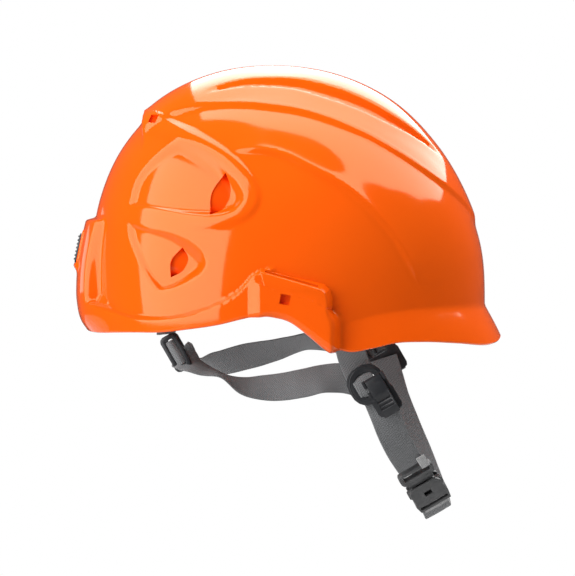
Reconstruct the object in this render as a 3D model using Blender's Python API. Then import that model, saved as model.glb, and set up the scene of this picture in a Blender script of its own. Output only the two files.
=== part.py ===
"""Helmet for climbing and work at height, as an assembly of separate pieces.

Frame: +X is the wearer's forward direction, +Y the wearer's left, +Z up.  The origin is the centre
of the head band's lower edge.  Dimensions below are in millimetres; meshes are written in metres.
"""
import math

import bmesh
import bpy
import numpy as np
from mathutils import Matrix, Vector

MM = 0.001

# ---------------------------------------------------------------- driving dimensions, mm
SHELL_WALL = 3.0
# Distance from the origin to the plain dome, by elevation in degrees.
FRONT_RADIUS = [(-30, 142), (-15, 138.5), (0, 136.2), (15, 138.2), (30, 140.2), (45, 143.8),
                (60, 148.2), (75, 150.2), (90, 150.8)]
REAR_RADIUS = [(-30, 124), (-15, 121.5), (0, 122), (15, 126.5), (30, 134.8), (45, 143.4),
               (60, 149.3), (75, 151.2), (90, 150.8)]
SIDE_RADIUS = [(-30, 114), (-15, 109), (0, 108), (15, 111.5), (30, 118), (45, 126.5),
               (60, 136), (75, 145.5), (90, 150.8)]
# Power of the plan's superellipse: slightly square at the rim, round at the top.
RIM_POWER, TOP_POWER = 2.16, 2.0
# Elevation of the shell's rim in degrees, by azimuth from the front: low peak, arch over the ear.
RIM_ELEVATION = [(0, -9.3), (20, -10.8), (31, -10.3), (42, -10.2), (50, -10.8), (57, -12.7),
                 (64, -14.3), (68, -13.4), (73, -10.5), (78, -6.9), (83, -3.6), (88, -2.3),
                 (93, -2.8), (98, -3.9), (106, -5.9), (117, -7.5), (126, -8.4), (138, -8.6),
                 (157, -9.05), (180, -8.6)]
# The raised crown band: half width and height by the angle from the front over the top.
CREST_WIDTH = [(20, 0), (24, 12), (28, 24), (34, 40), (40, 50), (50, 59), (64, 63.5), (85, 60.5),
               (106, 52.5), (123, 43), (140, 40)]
CREST_EDGE_STEP = 1.5
CREST_CENTRE_RISE = [(20, 0.4), (45, 1.4), (90, 2.1), (124, 3.0), (140, 3.0)]
CREST_REAR_X = -84.5
# The leaf-shaped groove each side of the crown's centre ridge.
GROOVE_LINE = [(36, 18), (43.4, 24.9), (50, 33.4), (58, 41), (67, 43.3), (75, 43.0), (86, 39.5),
               (96, 38.6), (106, 40.3), (112, 41)]
GROOVE_FROM, GROOVE_TO = 43.0, 108.0
GROOVE_DEPTH = 3.4
GROOVE_HALF_WIDTH = 8.0
# Closed vent recesses on each side, outlined in the side view (x, z).
UPPER_VENT = [[(-91.7, 63.7), (-87.6, 79.5), (-77.5, 92.4), (-60.5, 103.1), (-49.1, 102.0),
               (-37.7, 97.5), (-27.1, 90.5), (-19.0, 81.0), (-14.9, 68.4), (-18.5, 60.8),
               (-28.1, 56.4), (-40.9, 55.7)],
              [(-40.9, 55.7), (-54.0, 58.1), (-67.4, 60.6), (-91.7, 63.7)]]
LOWER_VENT = [[(-92.6, 52.6), (-77.2, 48.4), (-60.4, 45.4), (-49.2, 41.1), (-41.3, 34.2),
               (-38.7, 27.3), (-41.9, 20.3), (-50.3, 14.5), (-62.2, 10.5), (-71.6, 9.3)],
              [(-71.6, 9.3), (-79.0, 18.4), (-85.9, 31.7), (-91.0, 43.0), (-92.6, 52.6)]]
VENT_DEPTH_REAR, VENT_DEPTH_FRONT = 2.2, 5.5
# Deep crescent pocket at the front end of each recess.
UPPER_POCKET = [[(-28.6, 84.5), (-26.0, 74.0), (-30.6, 61.0), (-38.0, 57.5)],
                [(-38.0, 57.5), (-36.5, 70.0), (-28.6, 84.5)]]
LOWER_POCKET = [[(-55.8, 37.0), (-53.0, 30.5), (-56.0, 22.5), (-63.4, 17.5)],
                [(-63.4, 17.5), (-62.0, 28.0), (-55.8, 37.0)]]
POCKET_DEPTH = 4.0
VENT_HOLLOW = 9.5
# Raised rib that runs from the rear clip window round the upper recess.
RIB_LINE = [(-84.0, 119.0), (-72.0, 116.5), (-61.0, 112.3), (-45.9, 105.2), (-31.1, 96.9),
            (-19.2, 87.4), (-11.2, 76.6), (-9.0, 67.1), (-14.0, 58.9), (-26.0, 53.9),
            (-42.0, 51.5), (-58.0, 53.0)]
RIB_HEIGHT = 2.0
RIB_HALF_WIDTH = 3.6
# Soft crease that sweeps from the rib down towards the peak.
CREASE_LINE = [(-24.0, 98.8), (-7.4, 98.8), (6.1, 96.2), (25.3, 87.4), (48.3, 74.7),
               (64.8, 60.1), (79.3, 42.9), (88.8, 26.3), (96.4, 9.6)]
CREASE_HEIGHT = 1.3
# Raised skirt round the rear: its top line in the side view, and the upright panel at the back.
SKIRT_LINE = [(-140, 0.5), (-112, 0.5), (-103, -3.2), (-96.4, -5.8), (-76.9, -8.3), (-50.3, -5.1),
              (-34.0, 0.8), (-18.0, 9.8), (-8.5, 19.9), (-4.0, 21.8), (40, 30)]
SKIRT_HEIGHT = 3.8
REAR_PANEL_HALF_WIDTH = 46.0
REAR_PLATE_SPOT = (-130.4, 0.0, 34.7)
REAR_PLATE_DOWN, REAR_PLATE_OUT = (-0.2, 0.0, -0.98), (-0.98, 0.0, 0.2)
REAR_PLATE_SIZE = (20.0, 44.0)
REAR_PANEL_TOP = 52.0
REAR_PANEL_RISE = [(-25, 3.0), (-19.5, 5.0), (-13, 8.4), (0, 10.4), (12, 10.0), (35, 8.0), (52, 6.2)]
REAR_LIP_Z, REAR_LIP_HALF_WIDTH, REAR_LIP_HEIGHT = 21.5, 27.0, 2.6
# Flat accessory boss above each ear, with a slot from above and a latch window.
BOSS_FACE_Y = 115.0
BOSS_ROOT_Y = 103.0
BOSS_OUTLINE = [(-12.0, 13.0), (-4.0, 21.8), (33.5, 11.0), (36.5, 8.0), (38.0, 0.0), (40.0, -9.0),
                (38.5, -21.5), (31.0, -16.5), (24.0, -11.0), (14.0, -5.4), (4.0, -3.2), (-10.0, -4.6)]
SLOT_X = (-1.5, 31.5)
SLOT_Y = (109.2, 113.6)
SLOT_FLOOR_Z = -0.5
WINDOW_CENTRE = (10.7, 4.6)
WINDOW_SIDE = 6.4
# Peak: it flares out below this line in the side view.
PEAK_LINE = [(30, -22), (43.2, -13.0), (60, -7.0), (80.1, -3.3), (107.8, -1.5), (145, -2.7)]
PEAK_FLARE = [(0, 0.62), (22, 0.56), (40, 0.50), (60, 0.30), (72, 0.0), (180, 0.0)]
# Rear clip windows, one each side at the crown band's end.
CLIP_WINDOW_CENTRE = (-78.5, 43.0, 119.0)
CLIP_WINDOW_DEPTH = 3.6

LINER_GAP = 2.8
LINER_THICKNESS = 15.0
LINER_RIM_HEIGHT = 19.0
LINER_EAR_RIM_HEIGHT = 28.0
LINER_REAR_RIM_HEIGHT = 44.0

# Head band: half ellipse in front, half circle behind, in plan about (BAND_CENTRE_X, 0).
BAND_CENTRE_X = -12.0
BAND_RADIUS = 81.0
BAND_FRONT_REACH = 112.0
BAND_Z = (1.0, 23.0)
BAND_THICKNESS = 1.6
BAND_END = 118.0
PAD_THICKNESS = 4.0
# Toothed tails of the head band, wound past each other by one pinion.
TAIL_RADIUS = 84.2
TAIL_THICKNESS = 1.6
TAIL_FROM, TAIL_TO = 122.0, 195.0
TAIL_EDGE = 10.5
PINION_Z = 11.0
PINION_TEETH = 10
PINION_PITCH_RADIUS = 4.5
TOOTH_TIP, TOOTH_ROOT = 0.9, 1.2
TOOTH_HALF_TIP, TOOTH_HALF_ROOT = 0.25, 0.55
# Nape cradle behind the tails.
TRAY_RADIUS, TRAY_THICKNESS = 81.6, 2.0
COVER_RADIUS, COVER_THICKNESS = 86.6, 2.0
NAPE_HALF_ANGLE = 22.0
NAPE_Z = (-4.0, 26.0)
YOKE_Z = (4.5, 17.5)
YOKE_FROM = 99.0
NAPE_PIVOT = (-30.0, 11.0)
RIVET_RADIUS, RIVET_HOLE = 2.4, 2.8
SHAFT_RADIUS, SHAFT_HOLE = 2.5, 2.9
KNOB_RADIUS, KNOB_HEIGHT = 13.0, 8.5

WEB_WIDTH = 19.0
WEB_THICKNESS = 1.4
# Strap dividers: ring centre, then the direction down the chin strap and the one across it.
RIGHT_RING = (61.5, -86.0, -50.5)
LEFT_RING = (61.0, 86.0, -34.0)
RING_OUTER, RING_WINDOW = (25.5, 24.5), (16.0, 14.5)
PLATE_THICKNESS = 3.0
DOWN = (0.5, 0.0, -0.866)
ACROSS = (0.866, 0.0, 0.5)
LEVER_LENGTH, LEVER_WIDTH, LEVER_THICKNESS = 24.0, 11.0, 4.2
LEVER_PIN_RADIUS, LEVER_EYE = 1.3, 1.7
LEVER_SHIFT, LEVER_PIN_HEIGHT = 5.2, 4.6
# Cradle over the head: azimuth of its clips, and the reach and height of its strap ends.
CLIP_FRONT, CLIP_REAR = 38.0, 160.0
CRADLE_REACH_FRONT, CRADLE_REACH_REAR = 97.0, 99.0
CRADLE_Z = 36.0
# Slide frames behind the ears, their long and short directions, and the strap anchors.
RIGHT_LOOP = (-60.5, -86.0, -30.5)
LEFT_LOOP = (-73.5, 86.0, -38.0)
LOOP_LONG = (0.5, 0.0, -0.866)
LOOP_OUTER, LOOP_WINDOW = (25.0, 11.5), (18.5, 6.0)
REAR_ANCHORS = (77.5, 69.0)
REAR_ANCHOR_TURN = 0.6
REAR_ANCHOR_Z = 2.0
FRONT_ANCHOR = (46.0, 93.5, 4.0)
# Strap routes: centre point, then the direction across the strap.
FRONT_RIGHT_ROUTE = [(47, -93.5, -2.6, 1, 0, 0), (48, -92.5, -14, 1, 0, 0),
                     (50.5, -90, -26, 1, 0, 0.05), (53.5, -87.8, -37.0, 0.98, 0, 0.2)]
FRONT_LEFT_ROUTE = [(47, 93.5, -2.6, 1, 0, 0), (49, 91.8, -8, 1, 0, 0),
                    (51.5, 89.5, -14, 1, 0, 0.05), (54.0, 87.8, -20.5, 0.98, 0, 0.2)]
REAR_RIGHT_ROUTE = [(-48.3, -85.5, -38.0, 0.1, 1, 0.55), (-42, -84.5, -41.5, 0, 1, 0.35),
                    (-31.7, -84, -45, 0, 1, 0.08), (-18, -83, -51.5, 0, 0.85, 0.53),
                    (0, -83, -52.8, 0, 0.5, 0.87), (20, -84, -50, 0, 0.32, 0.95),
                    (36, -85.5, -45.5, 0, 0.7, 0.7), (47, -86, -45.5, -0.1, 0.45, 0.88)]
REAR_LEFT_ROUTE = [(-60.0, 85.5, -46.0, 0, -0.9, 0.44), (-46, 84.5, -46.0, 0, -0.5, 0.87),
                   (-28, 84, -42.3, 0, -0.3, 0.95), (-5.4, 83.5, -37, 0, -0.6, 0.8),
                   (18, 84, -30.8, 0, -0.88, 0.47), (32, 85, -29.5, 0, -0.8, 0.6),
                   (46.5, 86, -31.5, -0.1, -0.45, 0.88)]
CHIN_RIGHT_ROUTE = [(68.0, -83.2, -58.5, 0.87, 0, 0.5), (72.0, -82.0, -68.0, 0.87, 0.02, 0.5),
                    (77.0, -76, -81.5, 0.86, 0.05, 0.5), (83.0, -66, -94.5, 0.86, 0.05, 0.5),
                    (89.0, -55.0, -104.8, 0.86, 0.0, 0.5)]
CHIN_LEFT_UPPER_ROUTE = [(67.5, 83.2, -42.5, 0.87, 0, 0.5), (70.5, 81.5, -52.0, 0.87, 0, 0.5),
                         (76.0, 74.0, -69.0, 0.86, -0.1, 0.5), (83.0, 63.0, -85.5, 0.86, -0.1, 0.5)]
CHIN_LEFT_LOWER_ROUTE = [(83.5, 62.2, -86.5, 0.86, -0.1, 0.5), (93, 43, -107, 0.86, -0.15, 0.5),
                         (101, 21, -125.5, 0.86, -0.1, 0.5), (105.5, 2, -136.5, 0.86, 0, 0.5),
                         (105.8, -14.0, -138.0, 0.86, 0, 0.5), (104.4, -24.2, -133.6, 0.86, 0, 0.5)]
# Side release buckle, from its strap bar down to the far end bar.
BUCKLE_TOP = (90.0, -53.0, -106.5)
BUCKLE_DOWN = (0.356, 0.707, -0.61)
BUCKLE_OUT = (0.356, -0.706, -0.611)
SOCKET_FROM, SOCKET_TO = 14.4, 38.0
PRONG_ROOT = 5.9
SOCKET_WIDTH, SOCKET_THICKNESS = 24.0, 9.0

SHELL_GRID = (36, 32)
SHELL_INNER_ROWS = 6


# ---------------------------------------------------------------- curves and masks
def curve(position, knots):
    """Smooth curve through (position, value) knots, flat beyond its ends."""
    at = np.array([knot[0] for knot in knots], float)
    value = np.array([knot[1] for knot in knots], float)
    slope = np.gradient(value, at)
    x = np.clip(position, at[0], at[-1])
    i = np.clip(np.searchsorted(at, x) - 1, 0, len(at) - 2)
    span = at[i + 1] - at[i]
    t = (x - at[i]) / span
    return ((2 * t ** 3 - 3 * t ** 2 + 1) * value[i] + (t ** 3 - 2 * t ** 2 + t) * span * slope[i]
            + (3 * t ** 2 - 2 * t ** 3) * value[i + 1] + (t ** 3 - t ** 2) * span * slope[i + 1])


def spline(points, per_span=6):
    """Points along a smooth curve through the given points, of any dimension."""
    points = np.array(points, float)
    chord = np.linalg.norm(np.diff(points, axis=0), axis=1)
    length = np.concatenate([[0.0], np.cumsum(chord)])
    at = np.concatenate([np.linspace(length[i], length[i + 1], per_span, endpoint=False)
                         for i in range(len(chord))] + [length[-1:]])
    columns = [curve(at, list(zip(length, points[:, k]))) for k in range(points.shape[1])]
    return np.stack(columns, axis=1)


def outline(stretches, per_span=4):
    """Closed outline from smooth stretches that meet at corners."""
    return np.concatenate([spline(stretch, per_span)[:-1] for stretch in stretches])


def ramp(low, high, value):
    t = np.clip((value - low) / (high - low), 0.0, 1.0)
    return t * t * (3 - 2 * t)


def distance_to_line(px, pz, line):
    """Distance to a polyline in the side view, and the side: positive to the left of its way."""
    best = np.full(px.shape, 1e9)
    side = np.zeros(px.shape)
    for (ax, az), (bx, bz) in zip(line[:-1], line[1:]):
        dx, dz = bx - ax, bz - az
        t = np.clip(((px - ax) * dx + (pz - az) * dz) / (dx * dx + dz * dz), 0, 1)
        gap = np.hypot(px - ax - t * dx, pz - az - t * dz)
        nearer = gap < best
        best = np.where(nearer, gap, best)
        side = np.where(nearer, dx * (pz - az) - dz * (px - ax), side)
    return best, np.sign(side)


def depth_inside(px, pz, loop):
    """Distance to a closed outline in the side view, positive inside."""
    gap, _ = distance_to_line(px, pz, np.vstack([loop, loop[:1]]))
    inside = np.zeros(px.shape, bool)
    for (ax, az), (bx, bz) in zip(loop, np.roll(loop, -1, axis=0)):
        crosses = (az > pz) != (bz > pz)
        rise = np.where(bz == az, 1e-9, bz - az)
        inside ^= crosses & (px < (bx - ax) * (pz - az) / rise + ax)
    return np.where(inside, gap, -gap)


# ---------------------------------------------------------------- shell surface
def dome_radius(azimuth, elevation):
    degrees = np.degrees(elevation)
    cosine, sine = np.cos(azimuth), np.sin(azimuth)
    along = np.where(cosine >= 0, curve(degrees, FRONT_RADIUS), curve(degrees, REAR_RADIUS))
    side = curve(degrees, SIDE_RADIUS)
    power = RIM_POWER + (TOP_POWER - RIM_POWER) * ramp(15, 85, degrees)
    return (np.abs(cosine / along) ** power + np.abs(sine / side) ** power) ** (-1 / power)


def crest_relief(x, y, z):
    """Crown band with a beaded edge, a centre ridge and a leaf-shaped groove each side."""
    over = np.degrees(np.arctan2(z, x))
    over = np.where(over < -90, over + 360, over)
    side = np.abs(y)
    rear_end = ramp(CREST_REAR_X - 1.5, CREST_REAR_X + 1.5, x) * ramp(20, 24, over)
    edge = curve(over, CREST_WIDTH)
    band = 1 - ramp(edge - 1.5, edge + 3.5, side)
    bead = np.exp(-((side - edge) / 1.6) ** 2) * ramp(30, 44, over) * (1 - ramp(100, 112, over))
    reach = np.clip((over - GROOVE_FROM) / (GROOVE_TO - GROOVE_FROM), 0, 1)
    leaf = np.sin(np.pi * reach ** 0.8) ** 0.6
    half = np.maximum(GROOVE_HALF_WIDTH * leaf, 0.5)
    line = curve(over, GROOVE_LINE)
    t = (side - line) / half
    groove = leaf * GROOVE_DEPTH * ramp(-1.0, -0.25, t) * (1 - ramp(-0.1, 1.1, t))
    centre = curve(over, CREST_CENTRE_RISE) * (1 - ramp(line - 6, line + 14, side))
    rise = CREST_EDGE_STEP * band + 0.45 * bead * band + centre
    return (rise - groove) * rear_end


def vent_relief(x, y, z, shape):
    inside = depth_inside(x, z, outline(shape))
    left, right = min(p[0] for p in shape[0]), max(p[0] for p in shape[0])
    forward = ramp(left + 10, right - 8, x)
    depth = VENT_DEPTH_REAR + (VENT_DEPTH_FRONT - VENT_DEPTH_REAR) * forward
    wall = 2.6 + 5.5 * forward ** 2
    return -depth * ramp(-0.6, wall, inside)


def rib_relief(x, y, z):
    gap, _ = distance_to_line(x, z, spline(RIB_LINE, 3))
    fade = 1 - ramp(-38, -60, x) * (1 - ramp(58, 66, z))
    return RIB_HEIGHT * (1 - ramp(RIB_HALF_WIDTH - 1.8, RIB_HALF_WIDTH + 0.8, gap)) * fade


def crease_relief(x, y, z):
    gap, side = distance_to_line(x, z, spline(CREASE_LINE, 4))
    above = gap * side
    lip = np.where(above > 0, np.exp(-above / 7.0), 1 - ramp(0.0, 2.6, -above))
    fade = ramp(-30, -8, x) * ramp(8, 30, z)
    return CREASE_HEIGHT * lip * fade


def skirt_relief(x, y, z):
    """Raised band round the rear, deepest as the upright panel at the back."""
    side_band = 1 - ramp(-1.6, 1.6, z - curve(x, SKIRT_LINE))
    side_band = side_band * (1 - ramp(-4, 6, x))
    panel = (1 - ramp(REAR_PANEL_HALF_WIDTH - 3, REAR_PANEL_HALF_WIDTH + 3, np.abs(y)))
    panel = panel * (1 - ramp(REAR_PANEL_TOP - 1, REAR_PANEL_TOP + 3, z)) * (x < 0)
    mask = 1 - (1 - side_band) * (1 - panel)
    backward = 1 - ramp(-118, -98, x)
    height = SKIRT_HEIGHT + (curve(z, REAR_PANEL_RISE) - SKIRT_HEIGHT) * backward
    lip = np.exp(-((z - REAR_LIP_Z) / 2.6) ** 2) * (x < 0)
    lip = lip * (1 - ramp(REAR_LIP_HALF_WIDTH - 3, REAR_LIP_HALF_WIDTH + 2, np.abs(y)))
    return mask * height + REAR_LIP_HEIGHT * lip


def peak_relief(x, y, z, azimuth):
    """The peak flares out in a straight line below its crease."""
    drop = np.maximum(curve(x, PEAK_LINE) - z, 0)
    blend = drop * drop / (drop + 1.2)
    return curve(np.abs(np.degrees(azimuth)), PEAK_FLARE) * blend * 1.02 * (x > 0)


def vent_hollow(azimuth, elevation):
    """How far the wall behind the vents is set in, as one broad smooth hollow."""
    around = np.abs(np.degrees(azimuth))
    up = np.degrees(elevation)
    wide = ramp(88, 108, around) * (1 - ramp(140, 158, around))
    return VENT_HOLLOW * wide * ramp(-6, 8, up) * (1 - ramp(44, 62, up))


def shell_surfaces(azimuth, elevation):
    """Outer and inner wall points of the shell along the given directions, in mm."""
    radius = dome_radius(azimuth, elevation)
    direction = np.stack([np.cos(elevation) * np.cos(azimuth),
                          np.cos(elevation) * np.sin(azimuth), np.sin(elevation)], axis=-1)
    x, y, z = np.moveaxis(direction * radius[..., None], -1, 0)
    body = skirt_relief(x, y, z) + peak_relief(x, y, z, azimuth)
    outer = body + crest_relief(x, y, z) + rib_relief(x, y, z) + crease_relief(x, y, z)
    outer = outer + vent_relief(x, y, z, UPPER_VENT) + vent_relief(x, y, z, LOWER_VENT)
    inner = body - SHELL_WALL - vent_hollow(azimuth, elevation)
    return direction * (radius + outer)[..., None], direction * (radius + inner)[..., None]


def side_of_dome(x, z):
    """Distance of the plain dome from the middle plane at a point of the side view."""
    low, high = 0.0, 140.0
    for _ in range(30):
        y = (low + high) / 2
        flat = math.hypot(x, y)
        reach = dome_radius(np.array(math.atan2(y, x)), np.array(math.atan2(z, flat)))
        if math.hypot(flat, z) < float(reach):
            low = y
        else:
            high = y
    return low


def disc_grid(count_x, count_y):
    """A square grid mapped to the unit disc: distance from the middle and azimuth."""
    u, v = np.meshgrid(np.linspace(-1, 1, count_x + 1), np.linspace(-1, 1, count_y + 1),
                       indexing="ij")
    forward = u * np.sqrt(1 - v * v / 2)
    left = v * np.sqrt(1 - u * u / 2)
    return np.minimum(np.hypot(forward, left), 1.0), np.arctan2(left, forward)


def grid_border(count_x, count_y):
    """Vertex numbers round the grid's edge, in order."""
    row = count_y + 1
    return ([i * row for i in range(count_x)] + [count_x * row + j for j in range(count_y)]
            + [i * row + count_y for i in range(count_x, 0, -1)] + list(range(count_y, 0, -1)))


def grid_faces(count_x, count_y):
    row = count_y + 1
    return [(i * row + j, (i + 1) * row + j, (i + 1) * row + j + 1, i * row + j + 1)
            for i in range(count_x) for j in range(count_y)]


def dome_solid(grid, outer_at, inner_at, rim_at, inner_rows):
    """Closed cap: an outer grid, a rim, and an inner wall of rings that close at the top."""
    count_x, count_y = grid
    reach, azimuth = disc_grid(count_x, count_y)
    reach, azimuth = reach.ravel(), azimuth.ravel()
    rim = rim_at(azimuth)
    points = [tuple(p) for p in outer_at(azimuth, math.pi / 2 - reach * (math.pi / 2 - rim))]
    faces = grid_faces(count_x, count_y)
    border = grid_border(count_x, count_y)
    ring_azimuth, ring_rim = azimuth[border], rim[border]
    previous = border
    for row in range(inner_rows):
        share = 1 - row / inner_rows
        start = len(points)
        points += [tuple(p) for p in inner_at(ring_azimuth,
                                              math.pi / 2 - share * (math.pi / 2 - ring_rim))]
        ring = list(range(start, start + len(border)))
        faces += [(previous[k - 1], previous[k], ring[k], ring[k - 1]) for k in range(len(border))]
        previous = ring
    top = len(points)
    points.append(tuple(inner_at(np.array([0.0]), np.array([math.pi / 2]))[0]))
    faces += [(previous[k - 1], previous[k], top) for k in range(len(border))]
    return points, faces


# ---------------------------------------------------------------- mesh helpers
def material(name, colour, roughness, metallic=0.0):
    made = bpy.data.materials.new(name)
    made.use_nodes = True
    shader = made.node_tree.nodes["Principled BSDF"]
    shader.inputs["Base Color"].default_value = (*colour, 1.0)
    shader.inputs["Roughness"].default_value = roughness
    shader.inputs["Metallic"].default_value = metallic
    return made


def add_mesh(name, points, faces, finish, smooth=True):
    """Object from points in mm; faces are turned outward and round edges shaded smooth."""
    mesh = bpy.data.meshes.new(name)
    mesh.from_pydata([tuple(c * MM for c in p) for p in points], [], faces)
    work = bmesh.new()
    work.from_mesh(mesh)
    bmesh.ops.recalc_face_normals(work, faces=work.faces)
    work.to_mesh(mesh)
    work.free()
    if smooth:
        mesh.shade_smooth()
        mesh.set_sharp_from_angle(angle=math.radians(35))
    mesh.materials.append(finish)
    thing = bpy.data.objects.new(name, mesh)
    bpy.context.collection.objects.link(thing)
    return thing


def loft(rings):
    """Points and faces of a solid through rings of equal count, its ends closed."""
    count = len(rings[0])
    points = [tuple(p) for ring in rings for p in ring]
    faces = [tuple(range(count))[::-1]]
    for level in range(len(rings) - 1):
        base = level * count
        for k in range(count):
            nxt = (k + 1) % count
            faces.append((base + k, base + nxt, base + count + nxt, base + count + k))
    last = (len(rings) - 1) * count
    faces.append(tuple(range(last, last + count)))
    return points, faces


def axes_at(origin, forward, normal):
    """Placement whose local X is forward, whose local Z is close to normal; origin in mm."""
    x_axis = Vector(forward).normalized()
    y_axis = Vector(normal).cross(x_axis).normalized()
    z_axis = x_axis.cross(y_axis)
    turn = Matrix((x_axis, y_axis, z_axis)).transposed().to_4x4()
    return Matrix.Translation(Vector(origin) * MM) @ turn


def place(thing, placement):
    thing.matrix_world = placement
    return thing


def cut(thing, cutter, operation="DIFFERENCE"):
    """Boolean that keeps the cutter as a hidden wire object."""
    step = thing.modifiers.new(cutter.name, "BOOLEAN")
    step.operation = operation
    step.object = cutter
    step.solver = "EXACT"
    cutter.hide_render = True
    cutter.display_type = "WIRE"
    return thing


def rounded_rectangle(length, width, corner, per_corner=3):
    points = []
    for quarter, (sx, sy) in enumerate([(1, 1), (-1, 1), (-1, -1), (1, -1)]):
        cx, cy = sx * (length / 2 - corner), sy * (width / 2 - corner)
        for k in range(per_corner + 1):
            angle = math.radians(90 * (quarter + k / per_corner))
            points.append((cx + corner * math.cos(angle), cy + corner * math.sin(angle)))
    return points


def oval(length, width, count=16, power=2.4):
    points = []
    for k in range(count):
        angle = 2 * math.pi * k / count
        c, s = math.cos(angle), math.sin(angle)
        points.append((length / 2 * math.copysign(abs(c) ** (2 / power), c),
                       width / 2 * math.copysign(abs(s) ** (2 / power), s)))
    return points


def slab(name, shape, low, high, finish, taper=0.0):
    """Flat plate of a 2D outline between two heights, with its upper face drawn in."""
    rings = [[(x, y, low) for x, y in shape]]
    if taper:
        reach = max(math.hypot(x, y) for x, y in shape)
        rings.append([(x, y, high - taper) for x, y in shape])
        rings.append([(x * (1 - taper / reach), y * (1 - taper / reach), high) for x, y in shape])
    else:
        rings.append([(x, y, high) for x, y in shape])
    return add_mesh(name, *loft(rings), finish)


def ring_plate(name, outer, inner, low, high, finish):
    """Flat frame with one window, from two outlines with the same point count."""
    count = len(outer)
    loops = [[(x, y, low) for x, y in outer], [(x, y, high) for x, y in outer],
             [(x, y, high) for x, y in inner], [(x, y, low) for x, y in inner]]
    points = [p for loop in loops for p in loop]
    faces = [(a * count + k, a * count + (k + 1) % count,
              (a + 1) % 4 * count + (k + 1) % count, (a + 1) % 4 * count + k)
             for a in range(4) for k in range(count)]
    return add_mesh(name, points, faces, finish)


def turned(name, profile, finish, count=20):
    """Solid of revolution about local Z from (radius, height) points."""
    rings = [[(radius * math.cos(2 * math.pi * k / count),
               radius * math.sin(2 * math.pi * k / count), height) for k in range(count)]
             for radius, height in profile]
    return add_mesh(name, *loft(rings), finish)


def turned_ring(name, profile, finish, count=20):
    """Ring of revolution about local Z: the profile is a closed loop clear of the axis."""
    points = [(r * math.cos(2 * math.pi * k / count), r * math.sin(2 * math.pi * k / count), h)
              for k in range(count) for r, h in profile]
    size = len(profile)
    faces = [(k * size + j, k * size + (j + 1) % size,
              (k + 1) % count * size + (j + 1) % size, (k + 1) % count * size + j)
             for k in range(count) for j in range(size)]
    return add_mesh(name, points, faces, finish)


def webbing(name, stations, finish, width=WEB_WIDTH, thickness=WEB_THICKNESS, per_span=3):
    """Flat strap along stations of (x, y, z, width direction x, y, z), in mm."""
    track = spline(stations, per_span)
    rings = []
    for i, row in enumerate(track):
        ahead = track[min(i + 1, len(track) - 1), :3] - track[max(i - 1, 0), :3]
        across = Vector(row[3:6]).normalized()
        normal = Vector(ahead).cross(across).normalized() * (thickness / 2)
        across = across * (width / 2)
        centre = Vector(row[:3])
        rings.append([centre - across - normal, centre + across - normal,
                      centre + across + normal, centre - across + normal])
    return add_mesh(name, *loft(rings), finish)


# ---------------------------------------------------------------- finishes
def make_finishes():
    return {
        "shell": material("shell_orange", (0.95, 0.16, 0.01), 0.18),
        "foam": material("liner_foam", (0.06, 0.06, 0.065), 0.9),
        "black": material("black_plastic", (0.015, 0.016, 0.02), 0.35),
        "grey_plastic": material("grey_plastic", (0.12, 0.125, 0.13), 0.45),
        "web": material("grey_webbing", (0.12, 0.12, 0.125), 0.85),
        "pad": material("pad_fabric", (0.03, 0.03, 0.035), 0.95),
        "steel": material("steel", (0.55, 0.56, 0.58), 0.3, 1.0),
    }


# ---------------------------------------------------------------- shell and liner
def rim_elevation(azimuth):
    return np.radians(curve(np.abs(np.degrees(azimuth)), RIM_ELEVATION))


def pocket_cutter(name, shape, side):
    """Prism of a crescent outline whose floor follows the dome at the pocket's depth."""
    loop = outline(shape, 3)
    floor = [(x, side * (side_of_dome(x, z) - VENT_DEPTH_FRONT - POCKET_DEPTH), z)
             for x, z in loop]
    mouth = [(x, side * 135.0, z) for x, z in loop]
    return add_mesh(name, *loft([floor, mouth]), bpy.data.materials["shell_orange"], False)


def block(name, low, high, finish):
    corners = [(x, y) for x, y in [(low[0], low[1]), (high[0], low[1]),
                                   (high[0], high[1]), (low[0], high[1])]]
    rings = [[(x, y, z) for x, y in corners] for z in (low[2], high[2])]
    return add_mesh(name, *loft(rings), finish, False)


def build_shell(finish):
    def outer_at(azimuth, elevation):
        return shell_surfaces(azimuth, elevation)[0]

    def inner_at(azimuth, elevation):
        return shell_surfaces(azimuth, elevation)[1]

    shell = add_mesh("shell", *dome_solid(SHELL_GRID, outer_at, inner_at, rim_elevation,
                                          SHELL_INNER_ROWS), finish)
    add_bosses(shell, finish)
    add_rear_frame(shell, finish)
    half = WINDOW_SIDE / 2
    for side, tag in ((-1, "right"), (1, "left")):
        slot_y = sorted((side * SLOT_Y[0], side * SLOT_Y[1]))
        cut(shell, block("cut_slot_" + tag, (SLOT_X[0], slot_y[0], SLOT_FLOOR_Z),
                         (SLOT_X[1], slot_y[1], 40.0), finish))
        window_y = sorted((side * (SLOT_Y[0] + 1), side * (BOSS_FACE_Y + 3)))
        cut(shell, block("cut_window_" + tag,
                         (WINDOW_CENTRE[0] - half, window_y[0], WINDOW_CENTRE[1] - half),
                         (WINDOW_CENTRE[0] + half, window_y[1], WINDOW_CENTRE[1] + half), finish))
        cut(shell, pocket_cutter("cut_upper_pocket_" + tag, UPPER_POCKET, side))
        cut(shell, pocket_cutter("cut_lower_pocket_" + tag, LOWER_POCKET, side))
        x, y, z = CLIP_WINDOW_CENTRE
        clip = block("cut_clip_" + tag, (-half, -half, -CLIP_WINDOW_DEPTH), (half, half, 12),
                     finish)
        place(clip, axes_at((x, side * y, z), (0.6, 0.0, 0.5), (x * 0.8, side * y * 1.3, z)))
        cut(shell, clip)
    return shell


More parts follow.
